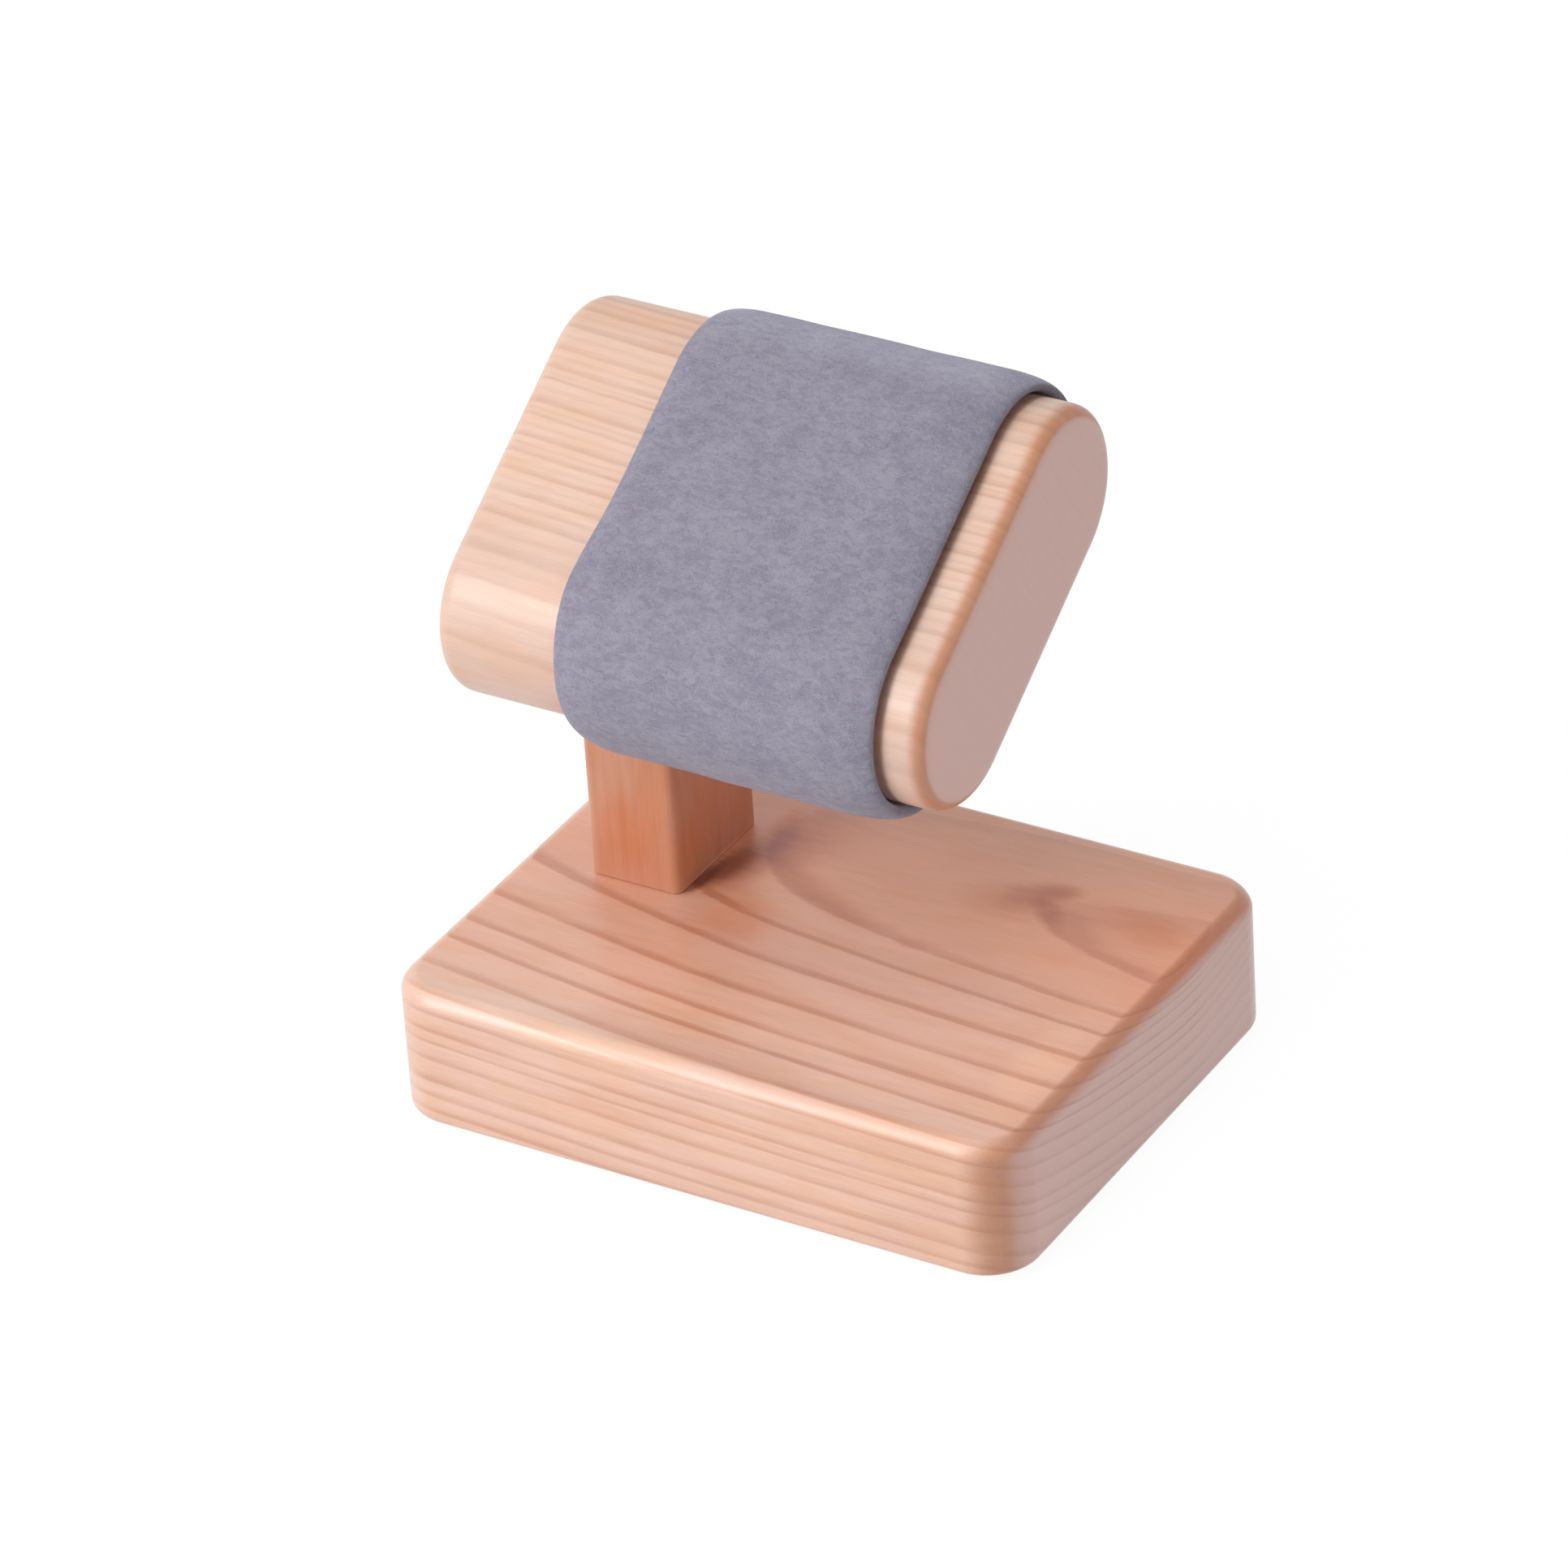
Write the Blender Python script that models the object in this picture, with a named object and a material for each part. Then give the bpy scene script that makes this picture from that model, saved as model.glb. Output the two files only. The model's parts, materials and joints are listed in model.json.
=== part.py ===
"""Watch display stand: a tilted, padded rest bar on a post that stands on a solid wood base.

Units are metres and +Z is up. The stand rests on z = 0 on its four feet, with the middle of
the base at x = y = 0. +X runs along the long front edge towards the bar's free end, where the
watch slides on, and -Y is the front.
"""
import math

import bmesh
import bpy
from mathutils import Matrix, Vector

# Clearances
FIT_GAP = 0.0003          # air round a soft piece and under the mitred seat
GLUE_FIT = 0.0002         # all round a dowel, and round the screw, in its hole
HOLE_END_ROOM = 0.0006    # left at the blind end of a drilled hole
CUT_MARGIN = 0.002        # how far a cutter reaches past the face that it opens

# Base block
BASE_LENGTH = 0.100
BASE_DEPTH = 0.077
BASE_THICKNESS = 0.0215
BASE_CORNER_RADIUS = 0.008
BASE_TOP_ROUND = 0.0025
BASE_UNDER_ROUND = 0.0012

# Foot pads, stuck under the base's corners
PAD_DIAMETER = 0.010
PAD_THICKNESS = 0.0012
PAD_EDGE_ROUND = 0.0003
PAD_INSET = 0.012         # pad's middle in from the base's edges

# Post
POST_WIDTH = 0.0146
POST_DEPTH = 0.0218
POST_HEIGHT = 0.0504      # base top to the middle of the mitred seat
POST_END_INSET = 0.0121   # base's left end to the post's left face
POST_SETBACK = 0.0097     # post's middle behind the base's middle
POST_EDGE_ROUND = 0.0020
POST_FOOT_ROUND = 0.0004

# Rest bar: a flat section with fully round edges
BAR_LENGTH = 0.0769
BAR_WIDTH = 0.0605
BAR_THICKNESS = 0.0265
BAR_TILT = math.radians(32.5)
BAR_OVERHANG = 0.0055     # bar's left end past the post's left face
BAR_DROP = 0.00225        # bar's middle below the post's axis, down the tilted seat
BAR_END_ROUND = 0.0024

# Padded sleeve: foam wrap with a fabric cover turned down over its two edges
FOAM_THICKNESS = 0.0019
FABRIC_THICKNESS = 0.0008
SLEEVE_SETBACK = 0.0006   # post's right face to the sleeve
SLEEVE_END_STUB = 0.0067  # bare wood between the sleeve and the bar's free end
SLEEVE_EDGE_ROUND = 0.0015

# Joinery: the same dowel pattern at the post's foot and head, and one screw from below
DOWEL_DIAMETER = 0.004
DOWEL_LENGTH = 0.020
DOWEL_SPACING = 0.0136
DOWEL_FLUTES = 12
DOWEL_FLUTE_DEPTH = 0.00015
DOWEL_CHAMFER = 0.0005
SCREW_DIAMETER = 0.0038
SCREW_LENGTH = 0.040
SCREW_POINT_LENGTH = 0.005
SCREW_HEAD_DIAMETER = 0.0076
SCREW_HEAD_HEIGHT = 0.0026
SCREW_RECESS_WIDTH = 0.0011
SCREW_RECESS_SPAN = 0.0044
SCREW_RECESS_DEPTH = 0.0014
WASHER_DIAMETER = 0.0090
WASHER_THICKNESS = 0.0008
COUNTERBORE_DEPTH = 0.0070
COUNTERBORE_ROOM = 0.0005  # radial room round the washer

# Facets
CORNER_STEPS = 8          # per quarter turn of the base's corners
ROUND_STEPS = 5           # across a rounded edge
BAR_STEPS = 20            # per half turn of the bar's and the sleeve's section
SMALL_STEPS = 3           # across an eased edge
TURN_STEPS = 24           # round a drilled hole, a screw, a washer or a pad
SHARP_ANGLE = math.radians(32)
SAME_PLACE = 1e-7         # coordinates closer than this are one place

# Places that follow from the sizes
BASE_UNDERSIDE_Z = PAD_THICKNESS
BASE_TOP_Z = BASE_UNDERSIDE_Z + BASE_THICKNESS
POST_X = -BASE_LENGTH / 2 + POST_END_INSET + POST_WIDTH / 2
POST_Y = POST_SETBACK
SEAT_Z = BASE_TOP_Z + POST_HEIGHT
BAR_LEFT_X = POST_X - POST_WIDTH / 2 - BAR_OVERHANG
BAR_RIGHT_X = BAR_LEFT_X + BAR_LENGTH
BAR_NORMAL = Vector((0, -math.sin(BAR_TILT), math.cos(BAR_TILT)))
BAR_UPHILL = Vector((0, math.cos(BAR_TILT), math.sin(BAR_TILT)))
BAR_CENTRE = (Vector((0, POST_Y, SEAT_Z)) + BAR_NORMAL * (FIT_GAP + BAR_THICKNESS / 2)
              - BAR_UPHILL * BAR_DROP)
SLEEVE_LEFT_X = POST_X + POST_WIDTH / 2 + SLEEVE_SETBACK
SLEEVE_RIGHT_X = BAR_RIGHT_X - SLEEVE_END_STUB
SLEEVE_FOAM_INNER = FIT_GAP
SLEEVE_FOAM_OUTER = SLEEVE_FOAM_INNER + FOAM_THICKNESS
SLEEVE_FABRIC_INNER = SLEEVE_FOAM_OUTER + FIT_GAP
SLEEVE_FABRIC_OUTER = SLEEVE_FABRIC_INNER + FABRIC_THICKNESS
SCREW_HEAD_Z = BASE_UNDERSIDE_Z + COUNTERBORE_DEPTH - WASHER_THICKNESS
SCREW_HOLE_RADIUS = SCREW_DIAMETER / 2 + GLUE_FIT

# Colours (linear) and finishes
CHERRY_BASE = ((0.70, 0.36, 0.25), 0.38, 0.0)
CHERRY_POST = ((0.60, 0.24, 0.13), 0.40, 0.0)
CHERRY_BAR = ((0.86, 0.58, 0.44), 0.36, 0.0)
SUEDE_GREY = ((0.29, 0.27, 0.34), 0.95, 0.0)
FOAM_CREAM = ((0.78, 0.74, 0.66), 0.90, 0.0)
BEECH_DOWEL = ((0.68, 0.50, 0.32), 0.60, 0.0)
ZINC_STEEL = ((0.62, 0.62, 0.60), 0.35, 1.0)
SILICONE_PAD = ((0.10, 0.10, 0.10), 0.70, 0.0)


def clear_scene():
    """Remove every object, so that the stand is built in an empty file."""
    for old in list(bpy.data.objects):
        bpy.data.objects.remove(old, do_unlink=True)


def make_material(name, finish):
    """A Principled material from a (colour, roughness, metallic) finish."""
    colour, roughness, metallic = finish
    material = bpy.data.materials.new(name)
    material.use_nodes = True
    shader = material.node_tree.nodes["Principled BSDF"]
    shader.inputs["Base Color"].default_value = (*colour, 1.0)
    shader.inputs["Roughness"].default_value = roughness
    shader.inputs["Metallic"].default_value = metallic
    return material


def make_object(name, bm, finish=None, location=(0, 0, 0), parent=None):
    """Turn a bmesh into an object whose faces point outwards; with no finish it is a cutter."""
    bmesh.ops.recalc_face_normals(bm, faces=bm.faces[:])
    mesh = bpy.data.meshes.new(name)
    bm.to_mesh(mesh)
    bm.free()
    mesh.shade_smooth()
    mesh.set_sharp_from_angle(angle=SHARP_ANGLE)
    obj = bpy.data.objects.new(name, mesh)
    bpy.context.scene.collection.objects.link(obj)
    obj.location = location
    obj.parent = parent
    if finish is None:
        obj.hide_render = True
        obj.display_type = 'WIRE'
    else:
        mesh.materials.append(make_material(name + "_finish", finish))
    return obj


def cut(obj, cutter):
    """Take the cutter's volume out of the object."""
    modifier = obj.modifiers.new(cutter.name, 'BOOLEAN')
    modifier.operation = 'DIFFERENCE'
    modifier.solver = 'EXACT'
    modifier.object = cutter


def arc(centre, radius, start, end, steps):
    """Points on a circle from one angle to another, both ends included."""
    angles = [start + (end - start) * i / steps for i in range(steps + 1)]
    return [(centre[0] + radius * math.cos(a), centre[1] + radius * math.sin(a)) for a in angles]


def rounded_rectangle(length, width, radius, steps):
    """Outline of a rectangle with round corners, counter-clockwise round (0, 0)."""
    half_l = length / 2 - radius
    half_w = width / 2 - radius
    quarter = math.pi / 2
    corners = [(half_l, half_w), (-half_l, half_w), (-half_l, -half_w), (half_l, -half_w)]
    points = []
    for i, corner in enumerate(corners):
        points += arc(corner, radius, i * quarter, (i + 1) * quarter, steps)
    return points


def bar_section(offset):
    """Outline of the bar's section grown by an offset, as (width, thickness) coordinates."""
    radius = BAR_THICKNESS / 2 + offset
    reach = (BAR_WIDTH - BAR_THICKNESS) / 2
    return (arc((reach, 0), radius, -math.pi / 2, math.pi / 2, BAR_STEPS)
            + arc((-reach, 0), radius, math.pi / 2, 3 * math.pi / 2, BAR_STEPS))


def extrude_outline(points, direction):
    """A prism from a closed outline of 3-D points and the vector it is extruded along."""
    bm = bmesh.new()
    face = bm.faces.new([bm.verts.new(p) for p in points])
    top = bmesh.ops.extrude_face_region(bm, geom=[face])["geom"]
    moved = [v for v in top if isinstance(v, bmesh.types.BMVert)]
    bmesh.ops.translate(bm, vec=direction, verts=moved)
    return bm


def round_edges(bm, chosen, radius, steps):
    """Round the edges for which chosen(edge) is true."""
    edges = [e for e in bm.edges if chosen(e)]
    bmesh.ops.bevel(bm, geom=edges, offset=radius, segments=steps, profile=0.5, affect='EDGES')


def lies_at(axis, value):
    """A test for edges that lie in the plane where the coordinate has the value."""
    return lambda edge: all(abs(v.co[axis] - value) < SAME_PLACE for v in edge.verts)


def turn_profile(profile, is_ring=False):
    """A solid turned round Z from (radius, height) points: closed for a ring, else from axis to axis."""
    bm = bmesh.new()
    verts = [bm.verts.new((radius, 0, height)) for radius, height in profile]
    following = verts[1:] + verts[:1] if is_ring else verts[1:]
    edges = [bm.edges.new(pair) for pair in zip(verts, following)]
    bmesh.ops.spin(bm, geom=verts + edges, cent=(0, 0, 0), axis=(0, 0, 1),
                   angle=2 * math.pi, steps=TURN_STEPS, use_merge=True, use_duplicate=False)
    bmesh.ops.remove_doubles(bm, verts=bm.verts[:], dist=SAME_PLACE)
    return bm


def sweep_round_bar(profile):
    """A closed band round the bar from a closed (x, offset) profile, in the bar's own axes."""
    bm = bmesh.new()
    rings = []
    for x, offset in profile:
        rings.append([bm.verts.new((x, y, z)) for y, z in bar_section(offset)])
    for ring, following in zip(rings, rings[1:] + rings[:1]):
        for i in range(len(ring)):
            bm.faces.new((ring[i - 1], ring[i], following[i], following[i - 1]))
    return bm


def make_drill(name, place, radius, low, high):
    """A vertical cylindrical cutter at place = (x, y), from the low to the high height."""
    bm = bmesh.new()
    bmesh.ops.create_cone(bm, cap_ends=True, segments=TURN_STEPS, radius1=radius, radius2=radius,
                          depth=high - low, matrix=Matrix.Translation((0, 0, (low + high) / 2)))
    return make_object(name, bm, location=(*place, 0))


def make_base():
    """Solid block with round corners, a soft top edge and a lightly eased underside."""
    outline = rounded_rectangle(BASE_LENGTH, BASE_DEPTH, BASE_CORNER_RADIUS, CORNER_STEPS)
    bm = extrude_outline([(x, y, 0) for x, y in outline], (0, 0, BASE_THICKNESS))
    round_edges(bm, lies_at(2, BASE_THICKNESS), BASE_TOP_ROUND, ROUND_STEPS)
    round_edges(bm, lies_at(2, 0), BASE_UNDER_ROUND, SMALL_STEPS)
    return make_object("base_block", bm, CHERRY_BASE, (0, 0, BASE_UNDERSIDE_Z))


def make_foot_pads():
    """Four round pads that lift the base off the table."""
    radius = PAD_DIAMETER / 2
    edge = arc((radius - PAD_EDGE_ROUND, PAD_EDGE_ROUND), PAD_EDGE_ROUND,
               -math.pi / 2, 0, SMALL_STEPS)
    profile = [(0, 0)] + edge + [(radius, PAD_THICKNESS), (0, PAD_THICKNESS)]
    across = BASE_LENGTH / 2 - PAD_INSET
    back = BASE_DEPTH / 2 - PAD_INSET
    for side, x in (("left", -across), ("right", across)):
        for end, y in (("front", -back), ("back", back)):
            name = "foot_pad_{}_{}".format(end, side)
            make_object(name, turn_profile(profile), SILICONE_PAD, (x, y, 0))


def make_post():
    """Upright with eased edges, its head mitred to the bar's lower flat."""
    half_w = POST_WIDTH / 2
    half_d = POST_DEPTH / 2
    rise = half_d * math.tan(BAR_TILT)
    side = [(-half_w, -half_d, 0), (-half_w, half_d, 0),
            (-half_w, half_d, POST_HEIGHT + rise), (-half_w, -half_d, POST_HEIGHT - rise)]
    bm = extrude_outline(side, (POST_WIDTH, 0, 0))

    def is_upright(edge):
        a, b = (v.co for v in edge.verts)
        return abs(a.x - b.x) < SAME_PLACE and abs(a.y - b.y) < SAME_PLACE

    round_edges(bm, is_upright, POST_EDGE_ROUND, ROUND_STEPS)
    round_edges(bm, lies_at(2, 0), POST_FOOT_ROUND, SMALL_STEPS)
    return make_object("post", bm, CHERRY_POST, (POST_X, POST_Y, BASE_TOP_Z))


def make_bar(bar_axes):
    """Rest bar with fully round long edges and softened ends."""
    outline = [(BAR_LEFT_X, y, z) for y, z in bar_section(0)]
    bm = extrude_outline(outline, (BAR_LENGTH, 0, 0))
    for end in (BAR_LEFT_X, BAR_RIGHT_X):
        round_edges(bm, lies_at(0, end), BAR_END_ROUND, ROUND_STEPS)
    return make_object("rest_bar", bm, CHERRY_BAR, parent=bar_axes)


def make_foam(bar_axes):
    """Foam strip closed round the bar, between the turned-down edges of its cover."""
    edge_room = FABRIC_THICKNESS + FIT_GAP
    left = SLEEVE_LEFT_X + edge_room
    right = SLEEVE_RIGHT_X - edge_room
    profile = [(left, SLEEVE_FOAM_INNER), (left, SLEEVE_FOAM_OUTER),
               (right, SLEEVE_FOAM_OUTER), (right, SLEEVE_FOAM_INNER)]
    make_object("foam_wrap", sweep_round_bar(profile), FOAM_CREAM, parent=bar_axes)


def make_sleeve(bar_axes):
    """Fabric cover: a band whose two edges roll down over the foam to the wood."""
    inner_round = SLEEVE_EDGE_ROUND - FABRIC_THICKNESS
    half_turn = math.pi
    quarter = math.pi / 2
    left = SLEEVE_LEFT_X
    right = SLEEVE_RIGHT_X
    height = SLEEVE_FABRIC_OUTER - SLEEVE_EDGE_ROUND
    left_roll = (left + SLEEVE_EDGE_ROUND, height)
    right_roll = (right - SLEEVE_EDGE_ROUND, height)
    outer = (arc(left_roll, SLEEVE_EDGE_ROUND, half_turn, quarter, ROUND_STEPS)
             + arc(right_roll, SLEEVE_EDGE_ROUND, quarter, 0, ROUND_STEPS))
    inner = (arc(right_roll, inner_round, 0, quarter, SMALL_STEPS)
             + arc(left_roll, inner_round, quarter, half_turn, SMALL_STEPS))
    profile = ([(left, FIT_GAP)] + outer + [(right, FIT_GAP), (right - FABRIC_THICKNESS, FIT_GAP)]
               + inner + [(left + FABRIC_THICKNESS, FIT_GAP)])
    make_object("fabric_sleeve", sweep_round_bar(profile), SUEDE_GREY, parent=bar_axes)


def make_dowel(name, place, middle):
    """Fluted dowel with chamfered ends, upright, centred on the joint at the middle height."""
    crest = DOWEL_DIAMETER / 2
    root = crest - DOWEL_FLUTE_DEPTH
    half = DOWEL_LENGTH / 2
    levels = [(-half, DOWEL_CHAMFER), (-half + DOWEL_CHAMFER, 0),
              (half - DOWEL_CHAMFER, 0), (half, DOWEL_CHAMFER)]
    bm = bmesh.new()
    rings = []
    for height, inset in levels:
        ring = []
        for i in range(2 * DOWEL_FLUTES):
            radius = (crest if i % 2 == 0 else root) - inset
            angle = math.pi * i / DOWEL_FLUTES
            ring.append(bm.verts.new((radius * math.cos(angle), radius * math.sin(angle), height)))
        rings.append(ring)
    for lower, upper in zip(rings, rings[1:]):
        for i in range(len(lower)):
            bm.faces.new((lower[i - 1], lower[i], upper[i], upper[i - 1]))
    bm.faces.new(rings[0])
    bm.faces.new(rings[-1])
    make_object(name, bm, BEECH_DOWEL, (*place, middle))


def make_screw():
    """Pan-head wood screw, head down in the counterbore and point up in the post."""
    shank = SCREW_DIAMETER / 2
    head = SCREW_HEAD_DIAMETER / 2
    crown = SCREW_HEAD_HEIGHT / 2
    dome = arc((head - crown, -SCREW_HEAD_HEIGHT + crown), crown, -math.pi / 2, 0, ROUND_STEPS)
    profile = ([(0, -SCREW_HEAD_HEIGHT)] + dome
               + [(head, 0), (shank, 0), (shank, SCREW_LENGTH - SCREW_POINT_LENGTH),
                  (0, SCREW_LENGTH)])
    screw = make_object("base_screw", turn_profile(profile), ZINC_STEEL,
                        (POST_X, POST_Y, SCREW_HEAD_Z))
    low = SCREW_HEAD_Z - SCREW_HEAD_HEIGHT - CUT_MARGIN
    high = SCREW_HEAD_Z - SCREW_HEAD_HEIGHT + SCREW_RECESS_DEPTH
    for name, size in (("recess_a", (SCREW_RECESS_SPAN, SCREW_RECESS_WIDTH)),
                       ("recess_b", (SCREW_RECESS_WIDTH, SCREW_RECESS_SPAN))):
        bm = bmesh.new()
        bmesh.ops.create_cube(bm, size=1)
        bmesh.ops.scale(bm, vec=(*size, high - low), verts=bm.verts[:])
        cut(screw, make_object(name, bm, location=(POST_X, POST_Y, (low + high) / 2)))


def make_washer():
    """Flat washer between the screw's head and the counterbore's floor."""
    inner = SCREW_HOLE_RADIUS
    outer = WASHER_DIAMETER / 2
    profile = [(inner, 0), (outer, 0), (outer, WASHER_THICKNESS), (inner, WASHER_THICKNESS)]
    make_object("screw_washer", turn_profile(profile, is_ring=True), ZINC_STEEL,
                (POST_X, POST_Y, SCREW_HEAD_Z))


def join_post_and_base(base, post):
    """Counterbore and screw hole on the post's axis, with a dowel in front and behind."""
    axis = (POST_X, POST_Y)
    floor = BASE_UNDERSIDE_Z + COUNTERBORE_DEPTH
    cut(base, make_drill("counterbore", axis, WASHER_DIAMETER / 2 + COUNTERBORE_ROOM,
                         BASE_UNDERSIDE_Z - CUT_MARGIN, floor))
    screw_hole = make_drill("screw_hole", axis, SCREW_HOLE_RADIUS, floor - CUT_MARGIN,
                            SCREW_HEAD_Z + SCREW_LENGTH + HOLE_END_ROOM)
    cut(base, screw_hole)
    cut(post, screw_hole)
    reach = DOWEL_LENGTH / 2 + HOLE_END_ROOM
    for end, shift in (("front", -DOWEL_SPACING / 2), ("back", DOWEL_SPACING / 2)):
        place = (POST_X, POST_Y + shift)
        hole = make_drill("foot_hole_" + end, place, DOWEL_DIAMETER / 2 + GLUE_FIT,
                          BASE_TOP_Z - reach, BASE_TOP_Z + reach)
        cut(base, hole)
        cut(post, hole)
        make_dowel("foot_dowel_" + end, place, BASE_TOP_Z)


def join_post_and_bar(post, bar):
    """Two upright dowels through the mitred seat into the bar's lower flat."""
    reach = DOWEL_LENGTH / 2 + HOLE_END_ROOM
    for end, shift in (("front", -DOWEL_SPACING / 2), ("back", DOWEL_SPACING / 2)):
        place = (POST_X, POST_Y + shift)
        middle = SEAT_Z + shift * math.tan(BAR_TILT)
        hole = make_drill("head_hole_" + end, place, DOWEL_DIAMETER / 2 + GLUE_FIT,
                          middle - reach, middle + reach)
        cut(post, hole)
        cut(bar, hole)
        make_dowel("head_dowel_" + end, place, middle)


def build():
    """Make every piece of the stand."""
    clear_scene()
    bar_axes = bpy.data.objects.new("bar_axes", None)
    bpy.context.scene.collection.objects.link(bar_axes)
    bar_axes.location = BAR_CENTRE
    bar_axes.rotation_euler = (BAR_TILT, 0, 0)
    base = make_base()
    make_foot_pads()
    post = make_post()
    bar = make_bar(bar_axes)
    make_foam(bar_axes)
    make_sleeve(bar_axes)
    make_screw()
    make_washer()
    join_post_and_base(base, post)
    join_post_and_bar(post, bar)
    bpy.context.view_layer.update()


build()
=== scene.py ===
"""Looks of the watch display stand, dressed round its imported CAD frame.

Units are metres and +Z is up; the shaders work in millimetres. The stand rests on z = 0 with
the middle of its base at x = y = 0, and -Y is the front. The rest bar has axes of its own:
x runs along the bar, u across its flat from the low front edge to the high back edge, and v
out of the upper flat.
"""
import json
import logging
import math
from dataclasses import dataclass, field
from enum import Enum

import bpy
import numpy as np
from mathutils import Matrix, Vector

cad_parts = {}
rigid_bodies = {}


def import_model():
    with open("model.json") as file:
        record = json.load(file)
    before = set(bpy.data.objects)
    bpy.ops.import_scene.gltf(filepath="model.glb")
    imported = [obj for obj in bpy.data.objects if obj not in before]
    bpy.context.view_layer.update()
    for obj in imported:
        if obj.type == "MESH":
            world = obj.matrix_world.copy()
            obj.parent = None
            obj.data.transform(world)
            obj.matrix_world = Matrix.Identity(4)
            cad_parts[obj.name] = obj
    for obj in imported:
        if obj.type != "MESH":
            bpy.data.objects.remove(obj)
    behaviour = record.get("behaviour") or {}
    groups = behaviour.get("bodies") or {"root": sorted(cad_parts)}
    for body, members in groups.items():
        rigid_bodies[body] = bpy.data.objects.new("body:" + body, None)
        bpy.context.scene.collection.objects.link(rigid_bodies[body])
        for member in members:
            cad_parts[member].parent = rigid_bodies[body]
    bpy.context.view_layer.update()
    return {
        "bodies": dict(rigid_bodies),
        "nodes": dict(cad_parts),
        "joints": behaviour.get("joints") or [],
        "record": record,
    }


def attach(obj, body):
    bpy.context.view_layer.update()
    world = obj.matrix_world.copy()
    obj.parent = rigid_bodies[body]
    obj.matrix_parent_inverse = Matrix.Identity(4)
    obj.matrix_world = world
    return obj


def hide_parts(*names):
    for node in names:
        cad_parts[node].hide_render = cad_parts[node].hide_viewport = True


MM = 0.001
BODY = "root"
SHARP_ANGLE = math.radians(38)
DRILL_COLUMNS = 48
LOG = logging.getLogger("watch_stand")

Array = np.ndarray
Triple = tuple[float, float, float]
Colour = Triple
Socket = bpy.types.NodeSocket
Value = Socket | float


# Meshes from arrays


def display(red: float, green: float, blue: float) -> Colour:
    """Linear colour of an 8-bit display colour."""
    levels = np.array([red, green, blue]) / 255
    linear = np.where(levels <= 0.04045, levels / 12.92, ((levels + 0.055) / 1.055) ** 2.4)
    return tuple(float(x) for x in linear)


def grid_quads(rows: int, columns: int, ring: bool = False) -> Array:
    """Quads of a grid whose columns close round, and whose rows do as well if it is a ring.

    Cell (i, j) joins point (i, j) to (i, j+1), (i+1, j+1) and (i+1, j). With columns that run
    counter-clockwise round the way the rows advance, the faces point outwards.

    Args:
        rows: how many rows of points the grid has.
        columns: how many points each row has.
        ring: whether the last row joins the first one.

    Returns:
        One row of four point numbers for each quad.
    """
    i = np.arange(rows if ring else rows - 1)[:, None]
    j = np.arange(columns)[None, :]
    here, there = i * columns, (i + 1) % rows * columns
    after = (j + 1) % columns
    return np.stack([here + j, here + after, there + after, there + j], -1).reshape(-1, 4)


def cap(row: int, columns: int, first: bool = False) -> Array:
    """One flat face over a row of a grid; the first row's is turned round to point outwards."""
    loop = row * columns + np.arange(columns)
    return (loop[::-1] if first else loop)[None, :]


def fan(row: int, columns: int, pole: int, first: bool = False) -> Array:
    """Triangles from a row of a grid to its pole; the first row's are turned round."""
    loop = row * columns + np.arange(columns)
    after = np.roll(loop, -1)
    pair = (after, loop) if first else (loop, after)
    return np.stack([*pair, np.full(columns, pole)], -1)


def new_piece(name: str, points: Array, *faces: Array) -> bpy.types.Object:
    """Make an object at the origin from points and sets of faces.

    Args:
        name: the piece's name.
        points: the places of the points in the row frame, three numbers each.
        faces: arrays of point numbers, one face a row.

    Returns:
        The object, smooth but for edges sharper than SHARP_ANGLE.
    """
    mesh = bpy.data.meshes.new(name)
    points = np.ascontiguousarray(points.reshape(-1, 3), np.float32)
    corners = np.concatenate([f.ravel() for f in faces]).astype(np.int32)
    counts = np.concatenate([np.full(len(f), f.shape[1]) for f in faces])
    starts = np.concatenate([[0], np.cumsum(counts)[:-1]]).astype(np.int32)
    mesh.vertices.add(len(points))
    mesh.vertices.foreach_set("co", points.ravel())
    mesh.loops.add(len(corners))
    mesh.loops.foreach_set("vertex_index", corners)
    mesh.polygons.add(len(starts))
    mesh.polygons.foreach_set("loop_start", starts)
    mesh.update(calc_edges=True)
    mesh.validate()
    obj = bpy.data.objects.new(name, mesh)
    bpy.context.scene.collection.objects.link(obj)
    soften(obj)
    return obj


def soften(obj: bpy.types.Object) -> None:
    """Shade an object smooth but for its sharp edges."""
    obj.data.shade_smooth()
    obj.data.set_sharp_from_angle(angle=SHARP_ANGLE)


def quarter(start: float, end: float, steps: int) -> tuple[Array, Array]:
    """Cosines and sines of evenly spaced angles, given in degrees, both ends included."""
    angles = np.radians(np.linspace(start, end, steps + 1))
    return np.cos(angles), np.sin(angles)


def rounded_rectangle(length: float, width: float, radius: float, steps: int,
                      inset: Array) -> Array:
    """Outlines of a rectangle with round corners, one for each inset.

    A corner's points are its centre plus (radius - inset) times (cos a, sin a), with a over
    a quarter turn, so every outline has the same points, moved straight inwards.

    Args:
        length: size along the first coordinate.
        width: size along the second one.
        radius: corner radius where the inset is nought.
        steps: steps over each corner.
        inset: how far each outline lies inside the rectangle.

    Returns:
        Array of outlines, points and two coordinates, counter-clockwise.
    """
    turn = np.radians(np.linspace(0, 90, steps + 1))
    angles = (turn[None, :] + np.radians([0, 90, 180, 270])[:, None]).ravel()
    middle = np.array([length / 2 - radius, width / 2 - radius])
    signs = np.array([[1, 1], [-1, 1], [-1, -1], [1, -1]])
    centres = np.repeat(signs * middle, steps + 1, axis=0)
    reach = (radius - inset)[:, None, None]
    return centres[None] + reach * np.stack([np.cos(angles), np.sin(angles)], -1)[None]


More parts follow.
